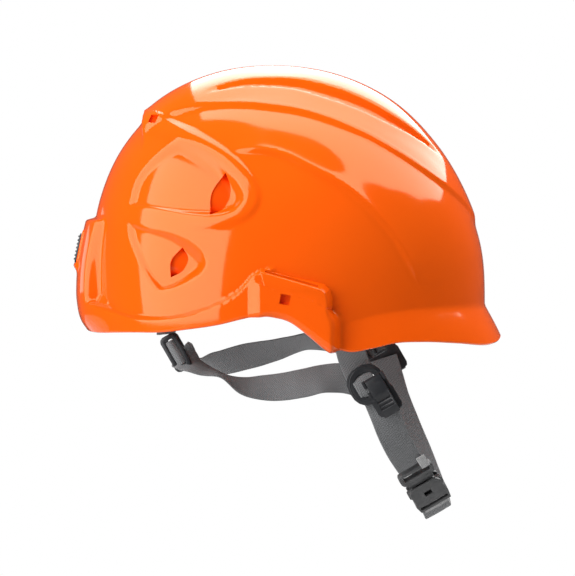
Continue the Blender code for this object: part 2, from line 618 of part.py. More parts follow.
def build_liner(finish):
    def liner_rim(azimuth):
        back = ramp(125, 150, np.abs(np.degrees(azimuth)))
        behind_ear = ramp(84, 100, np.abs(np.degrees(azimuth)))
        height = LINER_RIM_HEIGHT + (LINER_EAR_RIM_HEIGHT - LINER_RIM_HEIGHT) * behind_ear
        height = height + (LINER_REAR_RIM_HEIGHT - LINER_EAR_RIM_HEIGHT) * back
        return np.arcsin(height / 122.0)

    def wall_at(azimuth, elevation, inset, hollowed):
        radius = dome_radius(azimuth, elevation)
        direction = np.stack([np.cos(elevation) * np.cos(azimuth),
                              np.cos(elevation) * np.sin(azimuth), np.sin(elevation)], axis=-1)
        inset = inset + (vent_hollow(azimuth, elevation) if hollowed else 0)
        return direction * (radius - inset)[..., None]

    gap = SHELL_WALL + LINER_GAP
    return add_mesh("foam_liner", *dome_solid(
        (20, 20), lambda a, e: wall_at(a, e, gap, True),
        lambda a, e: wall_at(a, e, gap + LINER_THICKNESS, False), liner_rim, 5), finish)


def build_rear_plate(finish):
    """Dark grip plate let into the upright rear panel, for a lamp strap."""
    plate = slab("rear_lamp_plate", rounded_rectangle(*REAR_PLATE_SIZE, 3), -1.9, 0.3,
                 finish, 0.5)
    return place(plate, axes_at(REAR_PLATE_SPOT, REAR_PLATE_DOWN, REAR_PLATE_OUT))


def add_rear_frame(shell, finish):
    """Raise a flat frame on the rear panel and sink the grip plate's pocket into it."""
    tall, wide = REAR_PLATE_SIZE
    here = axes_at(REAR_PLATE_SPOT, REAR_PLATE_DOWN, REAR_PLATE_OUT)
    frame = slab("join_rear_frame", rounded_rectangle(tall + 5, wide + 5, 4), -5.0, 0.0, finish)
    cut(shell, place(frame, here), "UNION")
    pocket = slab("cut_rear_pocket", rounded_rectangle(tall + 0.7, wide + 0.7, 3.3), -2.2, 4.0, finish)
    cut(shell, place(pocket, here))


def add_bosses(shell, finish):
    """Join a flat-faced accessory boss to each side of the shell."""
    for side, tag in ((-1, "right"), (1, "left")):
        rings = [[(x, side * y, z) for x, z in BOSS_OUTLINE] for y in (BOSS_ROOT_Y, BOSS_FACE_Y)]
        cut(shell, add_mesh("join_boss_" + tag, *loft(rings), finish, False), "UNION")


# ---------------------------------------------------------------- head band and its tails
def plan_point(angle, offset):
    """Point of the head band's plan at an angle from the front, moved outward by an offset."""
    turn = math.radians(angle)
    reach = BAND_FRONT_REACH if abs(angle) < 90 else BAND_RADIUS
    x, y = reach * math.cos(turn), BAND_RADIUS * math.sin(turn)
    nx, ny = math.cos(turn) / reach, math.sin(turn) / BAND_RADIUS
    length = math.hypot(nx, ny)
    return BAND_CENTRE_X + x + offset * nx / length, y + offset * ny / length


def band_strip(name, angles, offset, thickness, low, high, finish, section=None):
    """Upright strip that follows the head band's plan; section adds flanges to its outline."""
    section = section or [(0, low), (thickness, low), (thickness, high), (0, high)]
    rings = [[(*plan_point(angle, offset + out), z) for out, z in section] for angle in angles]
    return add_mesh(name, *loft(rings), finish)


def crowned_strip(name, angles, offset, thickness, low, high, finish):
    """Padded strip with a rounded section and drawn-in ends."""
    section = [(0, 0.12), (0.35, 0), (1, 0.06), (1, 0.94), (0.35, 1), (0, 0.88)]
    rings = []
    for number, angle in enumerate(angles):
        end = min(number, len(angles) - 1 - number)
        shrink = 0.25 if end == 0 else 0.04 if end == 1 else 0.0
        rings.append([(*plan_point(angle, offset + thickness * out),
                       low + (high - low) * (shrink + up * (1 - 2 * shrink)))
                      for out, up in section])
    return add_mesh(name, *loft(rings), finish)


def build_head_band(finishes):
    angles = np.linspace(-BAND_END, BAND_END, 31)
    band = band_strip("head_band", angles, 0, BAND_THICKNESS, *BAND_Z, finishes["grey_plastic"])
    for side, tag in ((-1, "right"), (1, "left")):
        hole = turned("cut_band_rivet_" + tag, [(RIVET_HOLE, -8), (RIVET_HOLE, 8)],
                      finishes["black"], 12)
        place(hole, axes_at((NAPE_PIVOT[0], side * BAND_RADIUS, NAPE_PIVOT[1]), (1, 0, 0),
                            (0, side, 0)))
        cut(band, hole)
    crowned_strip("brow_pad", np.linspace(-64, 64, 17), -PAD_THICKNESS - 0.5, PAD_THICKNESS,
                  BAND_Z[0] - 0.5, BAND_Z[1] + 1.5, finishes["pad"])


def tooth_stations():
    """Angle and height above the pitch line at the corners of each rack tooth."""
    pitch = 2 * math.pi * PINION_PITCH_RADIUS / PINION_TEETH
    per_mm = math.degrees(1 / (TAIL_RADIUS + TAIL_THICKNESS / 2))
    stations = [(TAIL_FROM + 7 * k, TOOTH_ROOT) for k in range(7)]
    for number in range(-5, 8):
        middle = 180 + (number - 0.5) * pitch * per_mm
        stations += [(middle - TOOTH_HALF_ROOT * per_mm, TOOTH_ROOT),
                     (middle - TOOTH_HALF_TIP * per_mm, -TOOTH_TIP),
                     (middle + TOOTH_HALF_TIP * per_mm, -TOOTH_TIP),
                     (middle + TOOTH_HALF_ROOT * per_mm, TOOTH_ROOT)]
    return stations + [(TAIL_TO, TOOTH_ROOT)]


def build_tails(finish):
    """Left tail above the pinion, right tail below it, each toothed on the edge facing it."""
    offset = TAIL_RADIUS - BAND_RADIUS
    for side, tag in ((1, "left"), (-1, "right")):
        rings = []
        for angle, height in tooth_stations():
            edge = PINION_Z + side * (PINION_PITCH_RADIUS + height)
            far = PINION_Z + side * TAIL_EDGE
            rings.append([(*plan_point(side * angle, offset), edge),
                          (*plan_point(side * angle, offset + TAIL_THICKNESS), edge),
                          (*plan_point(side * angle, offset + TAIL_THICKNESS), far),
                          (*plan_point(side * angle, offset), far)])
        add_mesh("band_tail_" + tag, *loft(rings), finish, False)


# ---------------------------------------------------------------- nape cradle and ratchet
def rear_placement(radius):
    """Placement on the nape's centre line: local Z points backward out of the helmet."""
    return axes_at((BAND_CENTRE_X - radius, 0, PINION_Z), (0, 0, 1), (-1, 0, 0))


def gear_outline():
    pitch_angle = 2 * math.pi / PINION_TEETH
    tip, root = PINION_PITCH_RADIUS + TOOTH_TIP, PINION_PITCH_RADIUS - TOOTH_ROOT
    points = []
    for tooth in range(PINION_TEETH):
        middle = tooth * pitch_angle
        for radius, half in ((root, -TOOTH_HALF_ROOT), (tip, -TOOTH_HALF_TIP),
                             (tip, TOOTH_HALF_TIP), (root, TOOTH_HALF_ROOT)):
            turn = middle + half / radius
            points.append((radius * math.cos(turn), radius * math.sin(turn)))
    return points


def build_ratchet(finishes):
    black, grey = finishes["black"], finishes["grey_plastic"]
    nape_angles = np.linspace(180 - NAPE_HALF_ANGLE, 180 + NAPE_HALF_ANGLE, 11)
    band_strip("nape_tray", nape_angles, TRAY_RADIUS - BAND_RADIUS, TRAY_THICKNESS,
               *NAPE_Z, grey)
    inner = TRAY_RADIUS + TRAY_THICKNESS + 0.4 - COVER_RADIUS
    wall = 2.0
    low, high = NAPE_Z
    channel = [(inner, low), (COVER_THICKNESS, low), (COVER_THICKNESS, high), (inner, high),
               (inner, high - wall), (0, high - wall), (0, low + wall), (inner, low + wall)]
    cover = band_strip("nape_cover", nape_angles, COVER_RADIUS - BAND_RADIUS, 0, 0, 0, black,
                       channel)
    hole = turned("cut_shaft_hole", [(SHAFT_HOLE, -4), (SHAFT_HOLE, 6)], black, 16)
    cut(cover, place(hole, rear_placement(COVER_RADIUS)))
    crowned_strip("nape_pad", np.linspace(180 - 19, 180 + 19, 9), TRAY_RADIUS - BAND_RADIUS - 4.4,
                  PAD_THICKNESS, NAPE_Z[0] + 1, NAPE_Z[1] - 1, finishes["pad"])
    for side, tag in ((1, "left"), (-1, "right")):
        angles = np.linspace(YOKE_FROM, 180 - NAPE_HALF_ANGLE - 0.5, 10) * side
        yoke = band_strip("nape_yoke_" + tag, angles, COVER_RADIUS - BAND_RADIUS,
                          COVER_THICKNESS, *YOKE_Z, black)
        pivot = (NAPE_PIVOT[0], side * COVER_RADIUS, NAPE_PIVOT[1])
        hole = turned("cut_yoke_rivet_" + tag, [(RIVET_HOLE, -8), (RIVET_HOLE, 8)], black, 12)
        cut(yoke, place(hole, axes_at(pivot, (1, 0, 0), (0, side, 0))))
        rivet = turned("pivot_rivet_" + tag,
                       [(4.0, -1.2), (4.0, 0), (RIVET_RADIUS, 0), (RIVET_RADIUS, 11.6),
                        (4.0, 11.6), (3.4, 12.6)], finishes["steel"], 12)
        place(rivet, axes_at((NAPE_PIVOT[0], side * 76.6, NAPE_PIVOT[1]), (1, 0, 0),
                             (0, side, 0)))
    gear = gear_outline()
    face = COVER_RADIUS - TAIL_THICKNESS - 0.8
    rings = [[(x, y, h) for x, y in gear] for h in (-0.3, 2.0)]
    pinion = add_mesh("ratchet_pinion", *loft(rings), grey, False)
    place(pinion, rear_placement(face))
    shaft = turned("join_pinion_shaft", [(SHAFT_RADIUS, 0.5), (SHAFT_RADIUS, 9.0)], grey, 16)
    cut(pinion, place(shaft, rear_placement(face)), "UNION")
    bore = turned("cut_pinion_bore", [(1.5, 5.0), (1.5, 12.0)], grey, 10)
    cut(pinion, place(bore, rear_placement(face)))
    knob_base = COVER_RADIUS + COVER_THICKNESS + 0.6
    turned_knob = knob_ring("ratchet_knob", black)
    place(turned_knob, rear_placement(knob_base))
    screw = turned("knob_screw", [(1.2, 2.0), (1.2, 6.9), (4.9, 6.9), (4.9, 7.7), (4.2, 8.4)],
                   finishes["steel"], 16)
    place(screw, rear_placement(knob_base))
    detent = turned_ring("ratchet_detent_ring", [(8.4, -0.2), (10.0, -0.2), (10.0, 2.8),
                                                 (8.4, 2.8)], finishes["steel"], 20)
    place(detent, rear_placement(knob_base))


def knob_ring(name, finish, count=36):
    """Knurled cup with a hub round the shaft and a recess for the screw's head."""
    profile = [(SHAFT_HOLE, 0.8), (5.2, 0.8), (5.2, 3.6), (10.6, 3.6), (10.6, 0), (KNOB_RADIUS, 0),
               (KNOB_RADIUS, KNOB_HEIGHT - 1.2), (KNOB_RADIUS - 1.4, KNOB_HEIGHT),
               (5.4, KNOB_HEIGHT), (5.4, 6.5), (SHAFT_HOLE, 6.5)]
    points = []
    for k in range(count):
        angle = 2 * math.pi * k / count
        for radius, height in profile:
            reach = radius - (0.7 if radius > 12 and k % 3 == 0 else 0.0)
            points.append((reach * math.cos(angle), reach * math.sin(angle), height))
    size = len(profile)
    faces = [(k * size + j, k * size + (j + 1) % size,
              (k + 1) % count * size + (j + 1) % size, (k + 1) % count * size + j)
             for k in range(count) for j in range(size)]
    return add_mesh(name, points, faces, finish, False)


# ---------------------------------------------------------------- head cradle inside the shell
def build_cradle(finishes):
    """Two straps that cross over the crown, a pad under them and four anchor clips."""
    for tag, side, top in (("a", 1, 111.0), ("b", -1, 114.0)):
        stations = []
        for step in np.linspace(-1, 1, 9):
            azimuth = math.radians(side * (CLIP_FRONT if step > 0 else CLIP_REAR - 180))
            reach = CRADLE_REACH_FRONT if step > 0 else -CRADLE_REACH_REAR
            reach *= abs(math.sin(step * math.pi / 2))
            stations.append((reach * math.cos(azimuth), reach * math.sin(azimuth),
                             CRADLE_Z + (top - CRADLE_Z) * math.cos(step * math.pi / 2) ** 1.25,
                             -math.sin(azimuth), math.cos(azimuth), 0))
        webbing("crown_strap_" + tag, stations, finishes["web"], 18.0, WEB_THICKNESS, 2)
    pad = slab("crown_pad", oval(62, 56, 16, 2.0), 0.0, 4.5, finishes["pad"], 1.6)
    place(pad, Matrix.Translation(Vector((2, 0, 99.5)) * MM))
    for tag, azimuth, reach, out, foot, sole in (
            ("front_left", CLIP_FRONT, CRADLE_REACH_FRONT, 20.0, -24.5, -31.0),
            ("front_right", -CLIP_FRONT, CRADLE_REACH_FRONT, 20.0, -24.5, -31.0),
            ("rear_left", CLIP_REAR, CRADLE_REACH_REAR, 14.0, -1.0, -5.0),
            ("rear_right", -CLIP_REAR, CRADLE_REACH_REAR, 14.0, -1.0, -5.0)):
        turn = math.radians(azimuth)
        outward = Vector((math.cos(turn), math.sin(turn), 0))
        profile = [(-1.2, sole), (out, sole), (out, foot), (1.6, foot), (1.6, 0), (-1.2, 0)]
        rings = [[(reach_out, across, up) for reach_out, up in profile] for across in (-8, 8)]
        clip = add_mesh("anchor_clip_" + tag, *loft(rings), finishes["grey_plastic"], False)
        spot = Vector((0, 0, CRADLE_Z - 0.5)) + outward * reach
        place(clip, axes_at(spot, outward, (0, 0, 1)))


# ---------------------------------------------------------------- chin harness
def offset_from(origin, *moves):
    """Origin moved by (direction, distance) pairs, in mm."""
    spot = Vector(origin)
    for direction, distance in moves:
        spot = spot + Vector(direction) * distance
    return spot


def build_rear_loops(finishes):
    """Webbing tab and slide frame that hang inside the rim behind each ear."""
    for side, tag, centre, reach in ((-1, "right", RIGHT_LOOP, REAR_ANCHORS[0]),
                                     (1, "left", LEFT_LOOP, REAR_ANCHORS[1])):
        frame = ring_plate("rear_loop_" + tag, rounded_rectangle(*LOOP_OUTER, 3, 2),
                           rounded_rectangle(*LOOP_WINDOW, 1.5, 2), -1.5, 1.5, finishes["black"])
        place(frame, axes_at(centre, LOOP_LONG, (0, side, 0)))
        top = offset_from(centre, (LOOP_LONG, -13.6), ((0, side, 0), -1.8))
        anchor = offset_from(centre, (LOOP_LONG, -15.0))
        anchor.y, anchor.z = side * reach, REAR_ANCHOR_Z
        along = (1, side * REAR_ANCHOR_TURN, 0)
        webbing("rear_tab_" + tag,
                [(*top, 1, side * 0.2, 0.3), (*((top + anchor) / 2), 1, side * 0.4, 0.1),
                 (anchor.x, anchor.y, anchor.z - 4.6, *along)],
                finishes["web"], 12.0, WEB_THICKNESS, 2)
        plate = slab("rear_anchor_" + tag, rounded_rectangle(15, 8, 1.5, 2), -1.4, 1.4,
                     finishes["grey_plastic"])
        place(plate, axes_at(anchor, along, (0, side, 0)))


def lever_pin_spot(ring, side):
    """Centre of a cam lever's pin, from the divider ring it sits beside."""
    return offset_from(ring, (DOWN, -0.5), (ACROSS, LEVER_SHIFT), ((0, side, 0), LEVER_PIN_HEIGHT))


def build_dividers(finishes):
    """Ring and plate that join the straps, with a cam lever on a pin."""
    for side, tag, ring in ((-1, "right", RIGHT_RING), (1, "left", LEFT_RING)):
        out = (0, side, 0)
        divider = ring_plate("divider_" + tag, oval(*RING_OUTER, 20), oval(*RING_WINDOW, 20),
                             -PLATE_THICKNESS / 2, PLATE_THICKNESS / 2, finishes["black"])
        place(divider, axes_at(ring, DOWN, out))
        plate_at = offset_from(ring, (DOWN, 14.5), (ACROSS, LEVER_SHIFT))
        plate = slab("join_plate_" + tag, rounded_rectangle(18, 17, 3, 2), -1.3, 1.3,
                     finishes["black"])
        cut(divider, place(plate, axes_at(plate_at, DOWN, out)), "UNION")
        pin_at = lever_pin_spot(ring, side)
        rail = [(-2.6, -5.0), (9.0, -5.0), (9.0, -2.7), (2.6, -2.7), (2.6, 1.9), (-2.6, 1.9)]
        for end, edge in ((-1, "near"), (1, "far")):
            rings = [[(x, end * across, h) for x, h in rail] for across in (5.9, 7.7)]
            ear = add_mesh(f"join_ear_{tag}_{edge}", *loft(rings), finishes["black"], False)
            cut(divider, place(ear, axes_at(pin_at, DOWN, out)), "UNION")
        pin = turned("lever_pin_" + tag, [(LEVER_PIN_RADIUS, -5.6), (LEVER_PIN_RADIUS, 5.6)],
                     finishes["steel"], 10)
        place(pin, axes_at(pin_at, DOWN, ACROSS))
        shape = [(-2.2, -1.8), (2.4, -2.1), (9, -1.6), (LEVER_LENGTH, -1.3),
                 (LEVER_LENGTH + 0.8, 0.6), (LEVER_LENGTH - 4, 2.6), (8, LEVER_THICKNESS - 1.2),
                 (2.4, 2.9), (-1.2, 2.6), (-2.6, 1.2)]
        half = LEVER_WIDTH / 2
        rings = [[(x, across, h) for x, h in shape] for across in (-half, half)]
        lever = add_mesh("cam_lever_" + tag, *loft(rings), finishes["black"], False)
        place(lever, axes_at(pin_at, DOWN, out))
        eye = turned("cut_lever_eye_" + tag, [(LEVER_EYE, -9), (LEVER_EYE, 9)],
                     finishes["black"], 12)
        cut(lever, place(eye, axes_at(pin_at, DOWN, ACROSS)))


def build_straps(finishes):
    web = finishes["web"]
    webbing("front_strap_right", FRONT_RIGHT_ROUTE, web)
    webbing("front_strap_left", FRONT_LEFT_ROUTE, web)
    webbing("rear_strap_right", REAR_RIGHT_ROUTE, web)
    webbing("rear_strap_left", REAR_LEFT_ROUTE, web)
    webbing("chin_strap_right", CHIN_RIGHT_ROUTE, web)
    webbing("chin_strap_left_lower", CHIN_LEFT_LOWER_ROUTE, web)
    webbing("chin_strap_left_upper", CHIN_LEFT_UPPER_ROUTE, web)
    for side, tag in ((-1, "right"), (1, "left")):
        plate = ring_plate("front_anchor_" + tag, rounded_rectangle(26, 12, 2.5, 2),
                           rounded_rectangle(20, 5, 1, 2), -1.3, 1.3, finishes["grey_plastic"])
        place(plate, axes_at((FRONT_ANCHOR[0], side * FRONT_ANCHOR[1], FRONT_ANCHOR[2]),
                             (1, 0, 0), (0, side, 0)))


def build_buckle(finishes):
    """Side release buckle: plug with two latch prongs, and the socket they snap into."""
    black = finishes["black"]
    here = axes_at(BUCKLE_TOP, BUCKLE_DOWN, BUCKLE_OUT)
    frame = ring_plate("buckle_plug",
                       [(x + 5.2, y) for x, y in rounded_rectangle(11.5, 24, 3.5, 2)],
                       [(x + 4.4, y) for x, y in rounded_rectangle(4.6, 19.5, 1.5, 2)],
                       -2.0, 2.0, black)
    tongue = block("join_tongue", (10.0, -2.4, -1.5), (30.0, 2.4, 1.5), black)
    neck = block("join_neck", (9.5, -9.0, -2.2), (14.0, 9.0, 2.2), black)
    for thing in (tongue, neck):
        cut(frame, place(thing, here), "UNION")
    place(frame, here)
    for side, tag in ((1, "front"), (-1, "back")):
        shape = [(14.4, 4.2), (14.4, 7.6), (17.5, 8.8), (19.0, 12.4), (24.0, 12.6), (25.6, 9.3),
                 (31.0, 8.4), (31.0, 6.6), (24.0, 7.2), (19.0, 5.6)]
        rings = [[(x, side * y, h) for x, y in shape] for h in (-2.0, 2.0)]
        place(add_mesh("buckle_prong_" + tag, *loft(rings), black, False), here)
    half_w, half_t = SOCKET_WIDTH / 2, SOCKET_THICKNESS / 2
    shape = [(SOCKET_FROM, -half_w + 3), (SOCKET_FROM, half_w - 3), (SOCKET_FROM + 4, half_w - 0.5),
             (27.5, half_w - 0.8), (31.0, half_w), (SOCKET_TO, half_w - 1),
             (SOCKET_TO, -half_w + 1), (31.0, -half_w), (27.5, -half_w + 0.8),
             (SOCKET_FROM + 4, -half_w + 0.5)]
    socket = add_mesh("buckle_socket", *loft([[(x, y, h) for x, y in shape]
                                              for h in (-half_t, half_t)]), black, False)
    place(socket, here)
    hollows = (("cut_socket_cavity", (SOCKET_FROM - 2, -9.6, -2.7), (31.8, 9.6, 2.7)),
               ("cut_socket_sides", (SOCKET_FROM - 2, -20.0, -2.7), (27.0, 20.0, 2.7)),
               ("cut_socket_window", (21.5, -2.6, 0.0), (25.5, 2.6, 9.0)),
               ("cut_socket_bar", (33.2, -10.0, -9.0), (35.6, 10.0, 9.0)))
    for name, low, high in hollows:
        cut(socket, place(block(name, low, high, black), here))


def build_all(finishes):
    build_shell(finishes["shell"])
    build_liner(finishes["foam"])
    build_rear_plate(finishes["black"])
    build_head_band(finishes)
    build_tails(finishes["grey_plastic"])
    build_ratchet(finishes)
    build_cradle(finishes)
    build_rear_loops(finishes)
    build_dividers(finishes)
    build_straps(finishes)
    build_buckle(finishes)


# ---------------------------------------------------------------- joint axes
def hang(name, spot, pieces, parent=None):
    """Empty on a joint's axis that carries the pieces moving about it, and their cutters."""
    pivot = bpy.data.objects.new(name, None)
    pivot.location = Vector(spot) * MM
    bpy.context.collection.objects.link(pivot)
    carried = [bpy.data.objects[piece] for piece in pieces]
    for thing in carried + [step.object for piece in carried for step in piece.modifiers]:
        thing.parent = pivot
        thing.matrix_parent_inverse = Matrix.Translation(-pivot.location)
    if parent:
        pivot.parent = parent
        pivot.matrix_parent_inverse = Matrix.Translation(-parent.location)
    return pivot


def hang_moving_pieces():
    cradle = hang("nape_cradle_pivot", (NAPE_PIVOT[0], 0, NAPE_PIVOT[1]),
                  ["nape_tray", "nape_cover", "nape_yoke_left", "nape_yoke_right", "nape_pad",
                   "ratchet_detent_ring"])
    hang("ratchet_knob_pivot", (BAND_CENTRE_X - COVER_RADIUS, 0, PINION_Z),
         ["ratchet_knob", "ratchet_pinion", "knob_screw"], cradle)
    for tag in ("left", "right"):
        hang(f"tail_{tag}_pivot", (BAND_CENTRE_X, 0, PINION_Z), ["band_tail_" + tag], cradle)
    loop = hang("chin_loop_pivot", (Vector(RIGHT_RING) + Vector(LEFT_RING)) / 2,
                ["divider_left", "divider_right", "lever_pin_left", "lever_pin_right",
                 "chin_strap_right", "chin_strap_left_upper", "buckle_plug"])
    for side, tag, ring in ((-1, "right", RIGHT_RING), (1, "left", LEFT_RING)):
        hang(f"cam_lever_{tag}_pivot", lever_pin_spot(ring, side), ["cam_lever_" + tag], loop)
    hang("buckle_socket_slide", BUCKLE_TOP, ["buckle_socket", "chin_strap_left_lower"], loop)
    across = Vector(BUCKLE_OUT).cross(Vector(BUCKLE_DOWN))
    for side, tag in ((1, "front"), (-1, "back")):
        spot = offset_from(BUCKLE_TOP, (BUCKLE_DOWN, SOCKET_FROM), (across, side * PRONG_ROOT))
        hang(f"buckle_prong_{tag}_pivot", spot, ["buckle_prong_" + tag], loop)


def main():
    for thing in list(bpy.data.objects):
        bpy.data.objects.remove(thing, do_unlink=True)
    build_all(make_finishes())
    hang_moving_pieces()


main()
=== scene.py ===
"""Climbing helmet: fine surfaces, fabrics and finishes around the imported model.

Helper functions work in millimetres; meshes are written in metres, in the frame of the model:
+X forward, +Y the wearer's left, +Z up, origin at the middle of the head band's lower edge.
"""
import math

import bmesh
import bpy
import numpy as np
from mathutils import Matrix, Vector


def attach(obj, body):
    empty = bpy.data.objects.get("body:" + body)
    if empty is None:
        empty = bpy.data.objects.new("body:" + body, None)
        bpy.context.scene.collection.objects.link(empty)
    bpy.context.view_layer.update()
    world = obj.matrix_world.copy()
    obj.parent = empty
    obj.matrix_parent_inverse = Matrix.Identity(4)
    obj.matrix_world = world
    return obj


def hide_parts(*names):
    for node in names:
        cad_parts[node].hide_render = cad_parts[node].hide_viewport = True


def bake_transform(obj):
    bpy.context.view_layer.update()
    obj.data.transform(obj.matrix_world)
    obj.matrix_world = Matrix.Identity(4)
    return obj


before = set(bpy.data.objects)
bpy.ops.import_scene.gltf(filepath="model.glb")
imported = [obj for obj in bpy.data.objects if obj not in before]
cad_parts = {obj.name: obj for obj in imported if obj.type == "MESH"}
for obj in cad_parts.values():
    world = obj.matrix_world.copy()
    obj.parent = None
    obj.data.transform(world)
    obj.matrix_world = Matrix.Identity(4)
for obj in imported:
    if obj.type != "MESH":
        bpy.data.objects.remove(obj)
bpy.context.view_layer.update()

MM = 0.001
scene = bpy.context.scene

# -------- shell dimensions, mm
SHELL_WALL = 3.0
# Distance from the origin to the plain dome, by elevation in degrees.
FRONT_RADIUS = [(-30, 142), (-15, 138.5), (0, 136.2), (15, 138.2), (30, 140.2), (45, 143.8),
                (60, 148.2), (75, 150.2), (90, 150.8)]
REAR_RADIUS = [(-30, 124), (-15, 121.5), (0, 122), (15, 126.5), (30, 134.8), (45, 143.4),
               (60, 149.3), (75, 151.2), (90, 150.8)]
SIDE_RADIUS = [(-30, 114), (-15, 109), (0, 108), (15, 111.5), (30, 118), (45, 126.5),
               (60, 136), (75, 145.5), (90, 150.8)]
# Power of the plan's superellipse: slightly square at the rim, round at the top.
RIM_POWER, TOP_POWER = 2.16, 2.0
# Elevation of the shell's rim in degrees, by azimuth from the front: low peak, arch over the ear.
RIM_ELEVATION = [(0, -9.3), (20, -10.8), (31, -10.3), (42, -10.2), (50, -10.8), (57, -12.7),
                 (64, -14.3), (68, -13.4), (73, -10.5), (78, -6.9), (83, -3.6), (88, -2.3),
                 (93, -2.8), (98, -3.9), (106, -5.9), (117, -7.5), (126, -8.4), (138, -8.6),
                 (157, -9.05), (180, -8.6)]
# The raised crown band: half width and height by the angle from the front over the top.
CREST_WIDTH = [(20, 0), (24, 12), (28, 24), (34, 40), (40, 50), (50, 59), (64, 63.5), (85, 60.5),
               (106, 52.5), (123, 43), (140, 40)]
CREST_EDGE_STEP = 1.5
CREST_CENTRE_RISE = [(20, 0.4), (45, 1.4), (90, 2.1), (124, 3.0), (140, 3.0)]
CREST_REAR_X = -84.5
# The leaf-shaped groove each side of the crown's centre ridge.
GROOVE_LINE = [(36, 18), (43.4, 24.9), (50, 33.4), (58, 41), (67, 43.3), (75, 43.0), (86, 39.5),
               (96, 38.6), (106, 40.3), (112, 41)]
GROOVE_FROM, GROOVE_TO = 43.0, 108.0
GROOVE_DEPTH = 5.2
GROOVE_HALF_WIDTH = 8.0
# Closed vent recesses on each side, outlined in the side view (x, z).
UPPER_VENT = [[(-91.7, 63.7), (-87.6, 79.5), (-77.5, 92.4), (-60.5, 103.1), (-49.1, 102.0),
               (-37.7, 97.5), (-27.1, 90.5), (-19.0, 81.0), (-14.9, 68.4), (-18.5, 60.8),
               (-28.1, 56.4), (-40.9, 55.7)],
              [(-40.9, 55.7), (-54.0, 58.1), (-67.4, 60.6), (-91.7, 63.7)]]
LOWER_VENT = [[(-92.6, 52.6), (-77.2, 48.4), (-60.4, 45.4), (-49.2, 41.1), (-41.3, 34.2),
               (-38.7, 27.3), (-41.9, 20.3), (-50.3, 14.5), (-62.2, 10.5), (-71.6, 9.3)],
              [(-71.6, 9.3), (-79.0, 18.4), (-85.9, 31.7), (-91.0, 43.0), (-92.6, 52.6)]]
VENT_DEPTH_REAR, VENT_DEPTH_FRONT = 2.2, 6.2
# Deep crescent pocket at the front end of each recess.
UPPER_POCKET = [[(-28.6, 84.5), (-25.0, 74.0), (-29.6, 61.5), (-38.0, 57.5)],
                [(-38.0, 57.5), (-37.6, 70.5), (-28.6, 84.5)]]
LOWER_POCKET = [[(-55.8, 37.0), (-52.0, 30.5), (-55.0, 22.5), (-63.4, 17.5)],
                [(-63.4, 17.5), (-63.2, 28.0), (-55.8, 37.0)]]
POCKET_DEPTH = 5.5
VENT_HOLLOW = 9.5
# Raised rib that runs from the rear clip window round the upper recess.
RIB_LINE = [(-84.0, 119.0), (-72.0, 116.5), (-61.0, 112.3), (-45.9, 105.2), (-31.1, 96.9),
            (-19.2, 87.4), (-11.2, 76.6), (-9.0, 67.1), (-14.0, 58.9), (-26.0, 53.9),
            (-42.0, 51.5), (-58.0, 53.0)]
RIB_HEIGHT = 1.5
# Soft crease that sweeps from the rib down towards the peak.
CREASE_LINE = [(-24.0, 98.8), (-7.4, 98.8), (6.1, 96.2), (25.3, 87.4), (48.3, 74.7),
               (64.8, 60.1), (79.3, 42.9), (88.8, 26.3), (96.4, 9.6)]
CREASE_HEIGHT = 1.7
# Raised skirt round the rear: its top line in the side view, and the upright panel at the back.
SKIRT_LINE = [(-140, 0.5), (-112, 0.5), (-103, -3.2), (-96.4, -5.8), (-76.9, -8.3), (-50.3, -5.1),
              (-34.0, 0.8), (-18.0, 9.8), (-8.5, 19.9), (-4.0, 21.8), (40, 30)]
SKIRT_HEIGHT = 3.8
REAR_PANEL_HALF_WIDTH = 46.0
REAR_PANEL_TOP = 52.0
REAR_PANEL_RISE = [(-25, 3.0), (-19.5, 5.0), (-13, 8.4), (0, 10.4), (12, 10.0), (35, 8.0),
                   (52, 6.2)]
REAR_LIP_Z, REAR_LIP_HALF_WIDTH, REAR_LIP_HEIGHT = 21.5, 27.0, 2.6
# Flat accessory boss above each ear, with a slot from above and a latch window.
BOSS_FACE_Y = 115.0
BOSS_ROOT_Y = 103.0
SLOT_X, SLOT_Y, SLOT_Z = (-2.0, 31.5), (109.8, 112.8), (2.0, 40.0)
WINDOW_Y = (110.2, 118.0)
WINDOW_CENTRE = (10.7, 4.6)
WINDOW_SIDE, WINDOW_TURN = 6.4, 0.17
# Peak: it flares out below this line in the side view.
PEAK_LINE = [(30, -22), (43.2, -13.0), (60, -7.0), (80.1, -3.3), (107.8, -1.5), (145, -2.7)]
PEAK_FLARE = [(0, 0.62), (22, 0.56), (40, 0.50), (60, 0.30), (72, 0.0), (180, 0.0)]
# Rear clip windows, one each side at the crown band's end.
CLIP_WINDOW_CENTRE = (-78.5, 43.0, 119.0)
CLIP_WINDOW_LENGTH, CLIP_WINDOW_DEPTH = 4.8, 3.6
CLIP_FORWARD, CLIP_OUT = (0.93, 0.0, -0.36), (-0.30, 0.80, 0.52)
# Liner, head band, straps and buckle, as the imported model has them.
LINER_CHANNELS, CHANNEL_DEPTH = (-45.0, -15.0, 15.0, 45.0), 3.2
BAND_CENTRE_X = -12.0
BAND_RADIUS = 81.0
BAND_Z = (1.0, 23.0)
RIGHT_RING = (61.5, -86.0, -50.5)
LEFT_RING = (61.0, 86.0, -34.0)
DOWN = (0.5, 0.0, -0.866)
ACROSS = (0.866, 0.0, 0.5)
LEVER_SHIFT, LEVER_PIN_HEIGHT = 5.2, 4.6
CLIP_FRONT, CLIP_REAR = 38.0, 160.0
CRADLE_REACH_FRONT, CRADLE_REACH_REAR = 97.0, 99.0
CRADLE_Z = 36.0
RIGHT_LOOP = (-60.5, -86.0, -30.5)
LEFT_LOOP = (-73.5, 86.0, -38.0)
LOOP_LONG = (0.5, 0.0, -0.866)
REAR_ANCHORS = (77.5, 69.0)
REAR_ANCHOR_TURN = 0.6
REAR_ANCHOR_Z = 2.0
